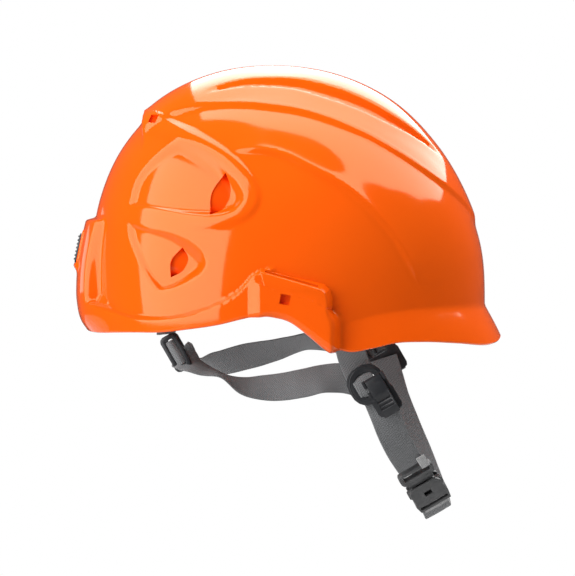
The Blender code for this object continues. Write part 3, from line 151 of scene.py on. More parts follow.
REAR_PLATE_SPOT = (-130.4, 0.0, 34.7)
REAR_PLATE_DOWN, REAR_PLATE_OUT = (-0.2, 0.0, -0.98), (-0.98, 0.0, 0.2)
REAR_PLATE_SIZE = (20.0, 44.0)
# The frame round the rear plate: height over its face, and how far it is wider than the plate.
PLATE_FRAME = ((-5.0, 7.0), (-1.8, 5.4), (-1.2, 4.2))
# Strap routes: centre point, then the direction across the strap.
FRONT_RIGHT_ROUTE = [(47, -93.5, -2.6, 1, 0, 0), (48, -92.5, -14, 1, 0, 0),
                     (50.5, -90, -26, 1, 0, 0.05), (53.5, -83.8, -37.0, 0.98, 0, 0.2),
                     (58.0, -82.5, -46.0, 0.92, 0, 0.38)]
FRONT_LEFT_ROUTE = [(47, 93.5, -2.6, 1, 0, 0), (49, 91.8, -8, 1, 0, 0),
                    (51.5, 87.8, -14, 1, 0, 0.05), (54.0, 83.4, -20.5, 0.98, 0, 0.2),
                    (58.0, 82.2, -29.5, 0.92, 0, 0.38)]
REAR_RIGHT_ROUTE = [(-58.5, -83.2, -31.0, -0.5, 0, 0.866),
                    (-53.5, -84.5, -35.5, -0.3, 0.5, 0.8),
                    (-48.3, -85.5, -38.6, 0.1, 1, 0.55), (-42, -84.5, -41.5, 0, 1, 0.35),
                    (-31.7, -84, -45, 0, 1, 0.08), (-18, -83, -51.5, 0, 0.85, 0.53),
                    (0, -83, -52.8, 0, 0.5, 0.87), (20, -84, -50, 0, 0.32, 0.95),
                    (34, -83.0, -47.0, 0, 0.35, 0.9), (46, -81.4, -46.8, 0, 0.05, 1),
                    (55, -80.6, -48.6, -0.2, 0, 0.98)]
REAR_LEFT_ROUTE = [(-71.5, 83.2, -38.5, -0.5, 0, 0.866), (-66, 84.5, -43.5, -0.3, -0.5, 0.8),
                   (-60.0, 85.5, -46.2, 0, -0.9, 0.44), (-46, 84.5, -46.5, 0, -0.5, 0.87),
                   (-28, 84, -42.3, 0, -0.3, 0.95), (-5.4, 83.5, -37, 0, -0.6, 0.8),
                   (16, 83.5, -31.2, 0, -0.75, 0.65), (30, 82.6, -29.8, 0, -0.4, 0.9),
                   (44, 81.2, -31.4, 0, -0.05, 1), (54, 80.4, -33.6, -0.2, 0, 0.98)]
CHIN_RIGHT_ROUTE = [(68.0, -83.2, -58.5, 0.87, 0, 0.5), (72.0, -82.0, -68.0, 0.87, 0.02, 0.5),
                    (77.0, -76, -81.5, 0.86, 0.05, 0.5), (83.0, -66, -94.5, 0.86, 0.05, 0.5),
                    (89.0, -55.0, -104.8, 0.86, 0.0, 0.5)]
CHIN_LEFT_ROUTE = [(67.5, 83.2, -42.5, 0.87, 0, 0.5), (70.5, 81.5, -52.0, 0.87, 0, 0.5),
                   (76.0, 74.0, -69.0, 0.86, -0.1, 0.5), (83.2, 62.6, -86.0, 0.86, -0.1, 0.5),
                   (93, 43, -107, 0.86, -0.15, 0.5), (101, 21, -125.5, 0.86, -0.1, 0.5),
                   (105.5, 2, -136.5, 0.86, 0, 0.5), (105.8, -14.0, -138.0, 0.86, 0, 0.5),
                   (104.4, -24.2, -133.6, 0.86, 0, 0.5)]
BUCKLE_TOP = (90.0, -53.0, -106.5)
BUCKLE_DOWN = (0.356, 0.707, -0.61)
BUCKLE_OUT = (0.356, -0.706, -0.611)


def curve(position, knots):
    """Smooth curve through (position, value) knots, flat beyond its ends."""
    at = np.array([knot[0] for knot in knots], float)
    value = np.array([knot[1] for knot in knots], float)
    slope = np.gradient(value, at)
    x = np.clip(position, at[0], at[-1])
    i = np.clip(np.searchsorted(at, x) - 1, 0, len(at) - 2)
    span = at[i + 1] - at[i]
    t = (x - at[i]) / span
    return ((2 * t ** 3 - 3 * t ** 2 + 1) * value[i] + (t ** 3 - 2 * t ** 2 + t) * span * slope[i]
            + (3 * t ** 2 - 2 * t ** 3) * value[i + 1] + (t ** 3 - t ** 2) * span * slope[i + 1])


def spline(points, per_span=6):
    """Points along a smooth curve through the given points, of any dimension."""
    points = np.array(points, float)
    chord = np.linalg.norm(np.diff(points, axis=0), axis=1)
    length = np.concatenate([[0.0], np.cumsum(chord)])
    at = np.concatenate([np.linspace(length[i], length[i + 1], per_span, endpoint=False)
                         for i in range(len(chord))] + [length[-1:]])
    columns = [curve(at, list(zip(length, points[:, k]))) for k in range(points.shape[1])]
    return np.stack(columns, axis=1)


def outline(stretches, per_span=4):
    """Closed outline from smooth stretches that meet at corners."""
    return np.concatenate([spline(stretch, per_span)[:-1] for stretch in stretches])


def ramp(low, high, value):
    t = np.clip((value - low) / (high - low), 0.0, 1.0)
    return t * t * (3 - 2 * t)


def distance_to_line(px, pz, line):
    """Distance to a polyline in the side view, and the side: positive to the left of its way."""
    best = np.full(px.shape, 1e9)
    side = np.zeros(px.shape)
    for (ax, az), (bx, bz) in zip(line[:-1], line[1:]):
        dx, dz = bx - ax, bz - az
        t = np.clip(((px - ax) * dx + (pz - az) * dz) / (dx * dx + dz * dz), 0, 1)
        gap = np.hypot(px - ax - t * dx, pz - az - t * dz)
        nearer = gap < best
        best = np.where(nearer, gap, best)
        side = np.where(nearer, dx * (pz - az) - dz * (px - ax), side)
    return best, np.sign(side)


def depth_inside(px, pz, loop):
    """Distance to a closed outline in the side view, positive inside."""
    gap, _ = distance_to_line(px, pz, np.vstack([loop, loop[:1]]))
    inside = np.zeros(px.shape, bool)
    for (ax, az), (bx, bz) in zip(loop, np.roll(loop, -1, axis=0)):
        crosses = (az > pz) != (bz > pz)
        rise = np.where(bz == az, 1e-9, bz - az)
        inside ^= crosses & (px < (bx - ax) * (pz - az) / rise + ax)
    return np.where(inside, gap, -gap)


# -------- shell surface
def dome_radius(azimuth, elevation):
    degrees = np.degrees(elevation)
    cosine, sine = np.cos(azimuth), np.sin(azimuth)
    along = np.where(cosine >= 0, curve(degrees, FRONT_RADIUS), curve(degrees, REAR_RADIUS))
    side = curve(degrees, SIDE_RADIUS)
    power = RIM_POWER + (TOP_POWER - RIM_POWER) * ramp(15, 85, degrees)
    return (np.abs(cosine / along) ** power + np.abs(sine / side) ** power) ** (-1 / power)


def crest_relief(x, y, z):
    """Crown band with a beaded edge, a centre ridge and a leaf-shaped groove each side."""
    over = np.degrees(np.arctan2(z, x))
    over = np.where(over < -90, over + 360, over)
    side = np.abs(y)
    rear_end = ramp(CREST_REAR_X - 1.5, CREST_REAR_X + 1.5, x) * ramp(20, 24, over)
    edge = curve(over, CREST_WIDTH)
    band = 1 - ramp(edge - 1.5, edge + 3.5, side)
    bead = np.exp(-((side - edge) / 1.6) ** 2) * ramp(30, 44, over) * (1 - ramp(100, 112, over))
    reach = np.clip((over - GROOVE_FROM) / (GROOVE_TO - GROOVE_FROM), 0, 1)
    leaf = np.sin(np.pi * reach ** 0.8) ** 0.6
    half = np.maximum(GROOVE_HALF_WIDTH * leaf, 0.5)
    line = curve(over, GROOVE_LINE)
    t = (side - line) / half
    groove = leaf * GROOVE_DEPTH * ramp(-1.0, -0.35, t) * (1 - ramp(0.0, 0.8, t))
    centre = curve(over, CREST_CENTRE_RISE) * (1 - ramp(line - 6, line + 14, side))
    rise = CREST_EDGE_STEP * band + 0.45 * bead * band + centre
    return (rise - groove) * rear_end


def vent_relief(x, y, z, shape):
    inside = depth_inside(x, z, outline(shape))
    left, right = min(p[0] for p in shape[0]), max(p[0] for p in shape[0])
    forward = ramp(left + 10, right - 8, x)
    depth = VENT_DEPTH_REAR + (VENT_DEPTH_FRONT - VENT_DEPTH_REAR) * forward
    wall = 2.8 + 8.0 * forward ** 2
    return -depth * ramp(-0.6, wall, inside)


def rib_relief(x, y, z):
    """Flange round the upper vent: a firm outer edge, and a soft fall towards the vent."""
    gap, side = distance_to_line(x, z, spline(RIB_LINE, 3))
    away = gap * side
    fade = 1 - ramp(-38, -60, x) * (1 - ramp(58, 66, z))
    start = ramp(-92, -84, x)
    return RIB_HEIGHT * (1 - ramp(0.0, 5.0, away)) * (1 - ramp(5.0, 12.0, -away)) * fade * start


def crease_relief(x, y, z):
    gap, side = distance_to_line(x, z, spline(CREASE_LINE, 4))
    above = gap * side
    lip = np.where(above > 0, np.exp(-above / 7.0), 1 - ramp(0.0, 2.6, -above))
    fade = ramp(-30, -8, x) * ramp(8, 30, z)
    return CREASE_HEIGHT * lip * fade


def skirt_relief(x, y, z):
    """Raised band round the rear, deepest as the upright panel at the back."""
    side_band = 1 - ramp(-1.6, 1.6, z - curve(x, SKIRT_LINE))
    side_band = side_band * (1 - ramp(-4, 6, x))
    panel = (1 - ramp(REAR_PANEL_HALF_WIDTH - 3, REAR_PANEL_HALF_WIDTH + 3, np.abs(y)))
    panel = panel * (1 - ramp(REAR_PANEL_TOP - 2.5, REAR_PANEL_TOP + 3.5, z)) * (x < 0)
    mask = 1 - (1 - side_band) * (1 - panel)
    backward = 1 - ramp(-118, -98, x)
    height = SKIRT_HEIGHT + (curve(z, REAR_PANEL_RISE) - SKIRT_HEIGHT) * backward
    lip = np.exp(-((z - REAR_LIP_Z) / 2.6) ** 2) * (x < 0)
    lip = lip * (1 - ramp(REAR_LIP_HALF_WIDTH - 3, REAR_LIP_HALF_WIDTH + 2, np.abs(y)))
    return mask * height + REAR_LIP_HEIGHT * lip


def peak_relief(x, y, z, azimuth):
    """The peak flares out in a straight line below its crease."""
    drop = np.maximum(curve(x, PEAK_LINE) - z, 0)
    blend = drop * drop / (drop + 1.2)
    return curve(np.abs(np.degrees(azimuth)), PEAK_FLARE) * blend * 1.02 * (x > 0)


def vent_hollow(azimuth, elevation):
    """How far the wall behind the vents is set in, as one broad smooth hollow."""
    around = np.abs(np.degrees(azimuth))
    up = np.degrees(elevation)
    wide = ramp(88, 108, around) * (1 - ramp(140, 158, around))
    return VENT_HOLLOW * wide * ramp(-6, 8, up) * (1 - ramp(44, 62, up))


def on_dome(azimuth, elevation):
    """Direction, radius and place of the plain dome's points, and the skirt's and peak's rise."""
    radius = dome_radius(azimuth, elevation)
    direction = np.stack([np.cos(elevation) * np.cos(azimuth),
                          np.cos(elevation) * np.sin(azimuth), np.sin(elevation)], axis=-1)
    x, y, z = np.moveaxis(direction * radius[..., None], -1, 0)
    return direction, radius, (x, y, z), skirt_relief(x, y, z) + peak_relief(x, y, z, azimuth)


def side_of_dome(x, z):
    """Distance of the plain dome from the middle plane at a point of the side view."""
    low, high = 0.0, 140.0
    for _ in range(30):
        y = (low + high) / 2
        flat = math.hypot(x, y)
        reach = dome_radius(np.array(math.atan2(y, x)), np.array(math.atan2(z, flat)))
        if math.hypot(flat, z) < float(reach):
            low = y
        else:
            high = y
    return low


# Fine grid of the shell, its rounded rim and inner rows.
SHELL_GRID = (284, 284)
RIM_RADIUS_RISE = 0.55
SHELL_INNER_ROWS = 14


def warped(count, lean):
    """Even steps from -1 to 1, closer together at the low end when lean is positive."""
    t = np.linspace(-1, 1, count + 1)
    return t + lean / 2 * (t * t - 1)


def disc_grid(count_x, count_y):
    """A square grid mapped to the unit disc: distance from the middle and azimuth."""
    u, v = np.meshgrid(warped(count_x, 0.28), warped(count_y, 0.0), indexing="ij")
    forward = u * np.sqrt(1 - v * v / 2)
    left = v * np.sqrt(1 - u * u / 2)
    return np.minimum(np.hypot(forward, left), 1.0), np.arctan2(left, forward)


def grid_border(count_x, count_y):
    """Vertex numbers round the grid's edge, in order."""
    row = count_y + 1
    return ([i * row for i in range(count_x)] + [count_x * row + j for j in range(count_y)]
            + [i * row + count_y for i in range(count_x, 0, -1)] + list(range(count_y, 0, -1)))


def dome_solid(grid, outer_at, inner_at, rim_at, inner_rows):
    """Closed cap: an outer grid, a rounded rim, and inner rings that close at the top."""
    count_x, count_y = grid
    reach, azimuth = disc_grid(count_x, count_y)
    reach, azimuth = reach.ravel(), azimuth.ravel()
    rim = rim_at(azimuth)
    points = [outer_at(azimuth, math.pi / 2 - reach * (math.pi / 2 - rim))]
    row = count_y + 1
    i, j = np.meshgrid(np.arange(count_x), np.arange(count_y), indexing="ij")
    base = (i * row + j).ravel()
    faces = np.stack([base, base + row, base + row + 1, base + 1], axis=1).tolist()
    border = grid_border(count_x, count_y)
    ring_azimuth, ring_rim = azimuth[border], rim[border]
    edge_out = points[0][border]
    edge_in = inner_at(ring_azimuth, ring_rim)
    middle, half = (edge_out + edge_in) / 2, (edge_out - edge_in) / 2
    size = np.linalg.norm(half, axis=1, keepdims=True)
    sink = np.sin(ring_rim)
    low = np.stack([sink * np.cos(ring_azimuth), sink * np.sin(ring_azimuth), -np.cos(ring_rim)],
                   axis=1)
    rings = [middle + half * math.cos(t) + low * size * 0.8 * math.sin(t)
             for t in np.radians([36, 72, 108, 144])]
    for step in range(inner_rows):
        share = 1 - step / inner_rows
        rings.append(inner_at(ring_azimuth, math.pi / 2 - share * (math.pi / 2 - ring_rim)))
    previous = np.array(border)
    start = len(points[0])
    for ring in rings:
        points.append(ring)
        current = start + np.arange(len(border))
        faces += np.stack([np.roll(previous, 1), previous, current, np.roll(current, 1)],
                          axis=1).tolist()
        previous, start = current, start + len(border)
    points.append(inner_at(np.array([0.0]), np.array([math.pi / 2])))
    faces += [(int(a), int(b), start) for a, b in zip(np.roll(previous, 1), previous)]
    return np.concatenate(points), faces


# -------- mesh helpers
def linked(name, data):
    thing = bpy.data.objects.new(name, data)
    scene.collection.objects.link(thing)
    return thing


def add_mesh(name, points, faces, finish, smooth=35.0):
    """Object from points in mm, faces turned outward, smooth below the given angle."""
    mesh = bpy.data.meshes.new(name)
    mesh.from_pydata((np.asarray(points, float) * MM).tolist(), [], faces)
    work = bmesh.new()
    work.from_mesh(mesh)
    bmesh.ops.recalc_face_normals(work, faces=work.faces)
    work.to_mesh(mesh)
    work.free()
    mesh.shade_smooth()
    mesh.set_sharp_from_angle(angle=math.radians(smooth))
    mesh.materials.append(finish)
    return linked(name, mesh)


def loft(rings):
    """Points and faces of a solid through rings of equal count, its ends closed."""
    count = len(rings[0])
    points = [tuple(p) for ring in rings for p in ring]
    faces = [tuple(range(count))[::-1]]
    for level in range(len(rings) - 1):
        base = level * count
        faces += [(base + k, base + (k + 1) % count, base + count + (k + 1) % count,
                   base + count + k) for k in range(count)]
    last = (len(rings) - 1) * count
    faces.append(tuple(range(last, last + count)))
    return points, faces


def axes_at(origin, forward, normal):
    """Placement whose local X is forward, whose local Z is close to normal; origin in mm."""
    x_axis = Vector(forward).normalized()
    y_axis = Vector(normal).cross(x_axis).normalized()
    turn = Matrix((x_axis, y_axis, x_axis.cross(y_axis))).transposed().to_4x4()
    return Matrix.Translation(Vector(origin) * MM) @ turn


def settle(thing, placement=None):
    """Bake modifiers and placement into the mesh, so the object sits at the origin."""
    if placement is not None:
        thing.matrix_world = placement
    bpy.context.view_layer.update()
    depsgraph = bpy.context.evaluated_depsgraph_get()
    mesh = bpy.data.meshes.new_from_object(thing.evaluated_get(depsgraph), depsgraph=depsgraph)
    mesh.transform(thing.matrix_world)
    thing.modifiers.clear()
    thing.data = mesh
    thing.matrix_world = Matrix.Identity(4)
    mesh.name = thing.name
    return thing


def cut(thing, cutters, operation="DIFFERENCE"):
    """Boolean by each cutter in turn; the cutters are removed afterwards."""
    for number, cutter in enumerate(cutters):
        step = thing.modifiers.new(f"cut_{number}", "BOOLEAN")
        step.operation = operation
        step.object = cutter
        step.solver = "EXACT"
    settle(thing)
    for cutter in cutters:
        bpy.data.objects.remove(cutter, do_unlink=True)
    return thing


def bevelled(thing, width, segments=2, angle=30):
    step = thing.modifiers.new("edges", "BEVEL")
    step.width = width * MM
    step.segments = segments
    step.limit_method = "ANGLE"
    step.angle_limit = math.radians(angle)
    step.use_clamp_overlap = True
    settle(thing)
    thing.data.shade_smooth()
    thing.data.set_sharp_from_angle(angle=math.radians(50))
    return thing


def block(name, low, high, finish):
    corners = [(low[0], low[1]), (high[0], low[1]), (high[0], high[1]), (low[0], high[1])]
    return add_mesh(name, *loft([[(x, y, z) for x, y in corners] for z in (low[2], high[2])]),
                    finish)


def standing(name, layers, here, finish):
    """Solid through outlines at heights over a placement."""
    thing = add_mesh(name, *loft([[(x, y, height) for x, y in shape] for shape, height in layers]),
                     finish)
    thing.matrix_world = here
    return thing


def rounded_rectangle(length, width, corner, per_corner=5):
    points = []
    for quarter, (sx, sy) in enumerate([(1, 1), (-1, 1), (-1, -1), (1, -1)]):
        cx, cy = sx * (length / 2 - corner), sy * (width / 2 - corner)
        for k in range(per_corner + 1):
            angle = math.radians(90 * (quarter + k / per_corner))
            points.append((cx + corner * math.cos(angle), cy + corner * math.sin(angle)))
    return points


def piece(thing, body, slot, *nodes):
    """Finished piece: attached to the body it rides on, with the nodes it replaces hidden; slot is
    not used.
    """
    if nodes:
        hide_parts(*nodes)
    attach(thing, body)
    return thing


def cad_copy(node, name, finish):
    """New object with a copy of a CAD node's mesh, in the given finish."""
    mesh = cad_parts[node].data.copy()
    mesh.materials.clear()
    mesh.materials.append(finish)
    return linked(name, mesh)


def remeshed(node, name, finish, voxel, rounds):
    """Copy of a CAD solid on an even grid, relaxed so that it has no hard edges."""
    thing = cad_copy(node, name, finish)
    even = thing.modifiers.new("even", "REMESH")
    even.mode = "VOXEL"
    even.voxel_size = voxel * MM
    relax = thing.modifiers.new("relax", "SMOOTH")
    relax.factor = 0.5
    relax.iterations = rounds
    return settle(thing)


def moved(thing, points):
    thing.data.vertices.foreach_set("co", (points * MM).ravel())
    thing.data.update()


def vertex_points(thing):
    return np.array([v.co for v in thing.data.vertices]) / MM


def inward_share(thing, outward):
    """How far each vertex faces against the given directions, from 0 to 1."""
    normals = np.array([v.normal for v in thing.data.vertices])
    return np.clip(-(normals * outward).sum(axis=1), 0, 1)


def refined(node, body, slot, finish, width, segments=2):
    """A CAD piece with its flat faces merged and every hard edge rounded."""
    thing = cad_copy(node, node + "_fine", finish)
    mesh = thing.data
    work = bmesh.new()
    work.from_mesh(mesh)
    bmesh.ops.remove_doubles(work, verts=work.verts, dist=0.000003)
    bmesh.ops.dissolve_limit(work, angle_limit=math.radians(1.2), verts=work.verts,
                             edges=work.edges)
    bmesh.ops.recalc_face_normals(work, faces=work.faces)
    work.to_mesh(mesh)
    work.free()
    bevelled(thing, width, segments)
    return piece(thing, body, slot, node)


# -------- material helpers
class Nodes:
    """Short forms for building a material's node tree."""

    def __init__(self, name):
        self.made = bpy.data.materials.new(name)
        self.made.use_nodes = True
        self.tree = self.made.node_tree
        self.shader = self.tree.nodes["Principled BSDF"]

    def add(self, kind, **values):
        node = self.tree.nodes.new(kind)
        for key, value in values.items():
            setattr(node, key, value)
        return node

    def link(self, out, into):
        self.tree.links.new(out, into)

    def feed(self, socket, value):
        """Give a socket a number, a colour or another node's output."""
        if isinstance(value, (int, float)):
            socket.default_value = value
        elif isinstance(value, tuple):
            socket.default_value = (*value, 1.0)
        else:
            self.link(value, socket)

    def pattern(self, kind, output, **values):
        """Procedural pattern in the object's own coordinates."""
        node = self.add(kind)
        for key, value in values.items():
            node.inputs[key].default_value = value
        self.link(self.add("ShaderNodeTexCoord").outputs["Object"], node.inputs["Vector"])
        return node.outputs[output]

    def noise(self, scale, detail=3.0, roughness=0.5):
        return self.pattern("ShaderNodeTexNoise", "Fac", Scale=scale, Detail=detail,
                            Roughness=roughness)

    def cells(self, scale):
        return self.pattern("ShaderNodeTexVoronoi", "Distance", Scale=scale)

    def math(self, operation, first, second=None):
        node = self.add("ShaderNodeMath", operation=operation)
        self.feed(node.inputs[0], first)
        if second is not None:
            self.feed(node.inputs[1], second)
        return node.outputs["Value"]

    def spread(self, value, low, high, to_low=0.0, to_high=1.0):
        node = self.add("ShaderNodeMapRange")
        for key, number in (("From Min", low), ("From Max", high), ("To Min", to_low),
                            ("To Max", to_high)):
            node.inputs[key].default_value = number
        self.link(value, node.inputs["Value"])
        return node.outputs["Result"]

    def mix(self, amount, first, second):
        node = self.add("ShaderNodeMix", data_type="RGBA")
        self.link(amount, node.inputs["Factor"])
        for key, value in (("A", first), ("B", second)):
            self.feed([s for s in node.inputs if s.name == key and s.type == "RGBA"][0], value)
        return [s for s in node.outputs if s.type == "RGBA"][0]

    def bump(self, height, strength, distance):
        node = self.add("ShaderNodeBump")
        node.inputs["Strength"].default_value = strength
        node.inputs["Distance"].default_value = distance
        self.link(height, node.inputs["Height"])
        self.link(node.outputs["Normal"], self.shader.inputs["Normal"])

    def finish(self, colour, roughness, **constants):
        self.feed(self.shader.inputs["Base Color"], colour)
        self.feed(self.shader.inputs["Roughness"], roughness)
        for key, value in constants.items():
            self.shader.inputs[key.replace("_", " ")].default_value = value
        return self.made


def shell_plastic():
    """Glossy moulded shell: faint colour drift and handling haze, and a very fine orange peel."""
    n = Nodes("shell_orange")
    drift = n.spread(n.noise(9.0, 2.0), 0.35, 0.65)
    colour = n.mix(drift, (0.95, 0.104, 0.002), (0.98, 0.114, 0.003))
    haze = n.spread(n.noise(38.0, 4.0, 0.6), 0.3, 0.75, 0.055, 0.105)
    n.bump(n.noise(420.0, 2.0), 0.03, 0.0002)
    return n.finish(colour, haze, IOR=1.55, Specular_Tint=(1.0, 0.80, 0.44, 1.0),
                    Coat_Weight=0.04, Coat_Roughness=0.04)


def liner_foam():
    """Moulded bead foam: packed cells with dark seams between them."""
    n = Nodes("liner_foam")
    cell = n.cells(330.0)
    edge = n.spread(cell, 0.25, 0.75)
    tint = n.noise(60.0, 2.0)
    colour = n.mix(edge, n.mix(tint, (0.045, 0.045, 0.05), (0.075, 0.075, 0.08)),
                   (0.022, 0.022, 0.025))
    n.bump(n.math("SUBTRACT", 1.0, cell), 0.35, 0.0006)
    return n.finish(colour, 0.8, Specular_IOR_Level=0.35)


def moulded(name, colour, worn, roughness):
    """Spark-textured plastic with worn, lighter rubbed patches."""
    n = Nodes(name)
    wear = n.spread(n.noise(55.0, 5.0, 0.65), 0.52, 0.75)
    grain = n.noise(1500.0, 2.0)
    n.bump(grain, 0.12, 0.0002)
    rough = n.spread(n.noise(90.0, 3.0), 0.3, 0.7, roughness - 0.07, roughness + 0.08)
    return n.finish(n.mix(wear, colour, worn), rough, IOR=1.5)


def webbing_cloth(name, dark, light, pitch=1.5):
    """Woven strap: twill ribs from the strap's own length and width, with painted light on the
    raised yarns and painted shade in the hollows.
    """
    n = Nodes(name)
    uv = n.add("ShaderNodeUVMap", uv_map="weave")
    split = n.add("ShaderNodeSeparateXYZ")
    n.link(uv.outputs["UV"], split.inputs["Vector"])
    along = n.math("MULTIPLY", split.outputs["X"], 2 * math.pi / (pitch * MM))
    across = n.math("MULTIPLY", split.outputs["Y"], 2 * math.pi / (pitch * 1.25 * MM))
    zigzag = n.math("MULTIPLY", n.math("PINGPONG", n.math("ADD", split.outputs["Y"], 1.0),
                                       0.0024), 2 * math.pi / (pitch * MM))
    twill = n.math("SINE", n.math("ADD", along, n.math("MULTIPLY", zigzag, 1.1)))
    columns = n.math("ABSOLUTE", n.math("SINE", across))
    height = n.math("ADD", n.math("MULTIPLY", twill, 0.5), columns)
    fuzz = n.noise(900.0, 2.0)
    n.bump(n.math("ADD", height, n.math("MULTIPLY", fuzz, 0.8)), 0.55, 0.00035)
    # Colour follows the weave's height: painted shade in the hollows, painted light on the raised
    # yarns.
    painted_weave_shading = n.spread(height, -0.4, 1.5)
    cloth = n.mix(painted_weave_shading, dark, light)
    stain = n.spread(n.noise(45.0, 4.0, 0.6), 0.35, 0.7)
    colour = n.mix(n.math("MULTIPLY", stain, 0.35), cloth, tuple(c * 0.72 for c in light))
    return n.finish(colour, 0.82, Specular_IOR_Level=0.3, Sheen_Weight=0.25,
                    Sheen_Roughness=0.45)


def pad_cloth():
    """Brushed knit over foam."""
    n = Nodes("pad_fabric")
    knit = n.cells(1400.0)
    mottled = n.noise(70.0, 4.0)
    n.bump(n.math("ADD", knit, n.noise(600.0, 3.0)), 0.5, 0.0003)
    colour = n.mix(mottled, (0.022, 0.022, 0.026), (0.05, 0.05, 0.056))
    return n.finish(colour, 0.92, Sheen_Weight=0.5, Sheen_Roughness=0.4,
                    Specular_IOR_Level=0.25)


def steel():
    n = Nodes("steel")
    brushed = n.noise(300.0, 4.0, 0.6)
    n.bump(brushed, 0.06, 0.0001)
    return n.finish((0.58, 0.58, 0.60), n.spread(brushed, 0.3, 0.7, 0.22, 0.4), Metallic=1.0)


FINISH = {
    "shell_orange": shell_plastic(),
    "liner_foam": liner_foam(),
    "black_plastic": moulded("black_plastic", (0.018, 0.019, 0.022), (0.045, 0.046, 0.05), 0.34),
    "buckle_plastic": moulded("buckle_plastic", (0.055, 0.056, 0.058), (0.11, 0.11, 0.112), 0.42),
    "grey_plastic": moulded("grey_plastic", (0.085, 0.088, 0.092), (0.14, 0.14, 0.145), 0.45),
    # Webbing: the first colour is the yarns' painted shade, the second their painted light.
    "grey_webbing": webbing_cloth("grey_webbing", (0.08, 0.082, 0.085), (0.265, 0.27, 0.278)),
    # Pale webbing: the tag's own pale colour, and painted light where the strap round the buckle's
    # end bar is lit.
    "pale_tag_and_lit_strap_webbing": webbing_cloth("pale_tag_and_lit_strap_webbing", (0.26, 0.26, 0.262), (0.56, 0.56, 0.56)),
    "pad_fabric": pad_cloth(),
    "steel": steel(),
}


# -------- camera, light and floor
CAMERA_TARGET = Vector((0.0063, 0.0, 0.0079))
CAMERA_DISTANCE = 2.5
CAMERA_AZIMUTH, CAMERA_ELEVATION = math.radians(3), math.radians(2)
VIEW_WIDTH = 0.3797
WORLD_FILL = 0.09
OVERHEAD_CORNERS = [(-0.62, 0.18), (-0.02, -0.20), (0.60, -0.50), (0.95, -0.72), (1.55, -0.55),
                    (2.30, 0.10), (2.70, 1.30), (2.0, 4.5), (-0.9, 4.5)]
OVERHEAD_HEIGHT, OVERHEAD_RADIANCE = 1.40, 4.4
# Area lights: centre, aim, width and height in metres, and radiance.
LAMPS = {"side_tower": ((-1.24, -1.0, 0.68), (0, 0, 0.10), 1.95, 2.3, 4.0),
         "rear_strip": ((-1.45, 1.35, 0.10), (0, 0, 0.05), 0.7, 0.35, 1.0)}
FLOOR_HALF_WIDTH, FLOOR_HEIGHT = 1.5, -0.42
SENSOR = 36.0


def build_camera():
    data = bpy.data.cameras.new("camera")
    data.sensor_width = SENSOR
    data.lens = SENSOR * CAMERA_DISTANCE / VIEW_WIDTH
    camera = linked("camera", data)
    back = Vector((math.sin(CAMERA_AZIMUTH) * math.cos(CAMERA_ELEVATION),
                   -math.cos(CAMERA_AZIMUTH) * math.cos(CAMERA_ELEVATION),
                   math.sin(CAMERA_ELEVATION)))
    camera.location = CAMERA_TARGET + back * CAMERA_DISTANCE
    camera.rotation_euler = back.to_track_quat("Z", "Y").to_euler()
    scene.camera = camera


def softbox(name, centre, aim, width, height, radiance):
    """Rectangular area light at centre, facing aim, both in metres."""
    data = bpy.data.lights.new(name, "AREA")
    data.shape = "RECTANGLE"
    data.size, data.size_y = width, height
    data.energy = radiance * math.pi * width * height
    lamp = linked(name, data)
    lamp.location = centre
    lamp.rotation_euler = (Vector(centre) - Vector(aim)).to_track_quat("Z", "Y").to_euler()


def level_sheet(name, corners, height, material):
    """Flat polygon of the studio at a height in metres, left out of what the camera sees."""
    mesh = bpy.data.meshes.new(name)
    mesh.from_pydata([(x, y, height) for x, y in corners], [], [tuple(range(len(corners)))])
    mesh.materials.append(material)
    sheet = linked(name, mesh)
    sheet.visible_camera = False


def glow(name, radiance):
    n = Nodes(name)
    return n.finish((0.0, 0.0, 0.0), 0.5, Emission_Color=(1.0, 1.0, 1.0, 1.0),
                    Emission_Strength=radiance)


def build_studio():
    world = bpy.data.worlds.new("studio")
    world.use_nodes = True
    scene.world = world
    tree = world.node_tree
    back = tree.nodes["Background"]
    path = tree.nodes.new("ShaderNodeLightPath")
    strength = tree.nodes.new("ShaderNodeMath")
    strength.operation = "MULTIPLY_ADD"
    strength.inputs[1].default_value = 1.0 - WORLD_FILL
    strength.inputs[2].default_value = WORLD_FILL
    tree.links.new(path.outputs["Is Camera Ray"], strength.inputs[0])
    tree.links.new(strength.outputs["Value"], back.inputs["Strength"])
    back.inputs["Color"].default_value = (1.0, 1.0, 1.0, 1.0)
    level_sheet("overhead", OVERHEAD_CORNERS, OVERHEAD_HEIGHT,
                glow("overhead_light", OVERHEAD_RADIANCE))
    for name, values in LAMPS.items():
        softbox(name, *values)
    half = FLOOR_HALF_WIDTH
    level_sheet("floor", [(-half, -half), (half, -half), (half, half), (-half, half)],
                FLOOR_HEIGHT, Nodes("floor_pale").finish((0.42, 0.42, 0.42), 0.7))
    scene.view_settings.view_transform = "Standard"


# -------- shell
def rim_elevation(azimuth):
    edge = curve(np.abs(np.degrees(azimuth)), RIM_ELEVATION)
    return np.radians(edge + RIM_RADIUS_RISE)


def boss_relief(x, y, z, radius):
    """Flat face of the accessory boss: its share at each point, and the way out to it."""
    grow = BOSS_FACE_Y / np.maximum(np.abs(y), 1.0)
    flat_x, flat_z = x * grow, z * grow
    top = 21.8 - 0.29 * (flat_x + 4)
    mask = 1 - ramp(-8.5, -5.0, flat_z - top)
    front = 36.5 - 4.0 * ramp(-2, 4, flat_z) + 2.0 * ramp(-2, -14, flat_z)
    mask = mask * (1 - ramp(0, 3.0 + 11.0 * ramp(4, -10, flat_z), flat_x - front))
    mask = mask * ramp(-10, 0, flat_x + 4) * (np.abs(y) > 60)
    return mask, np.maximum(radius * (grow - 1), 0)


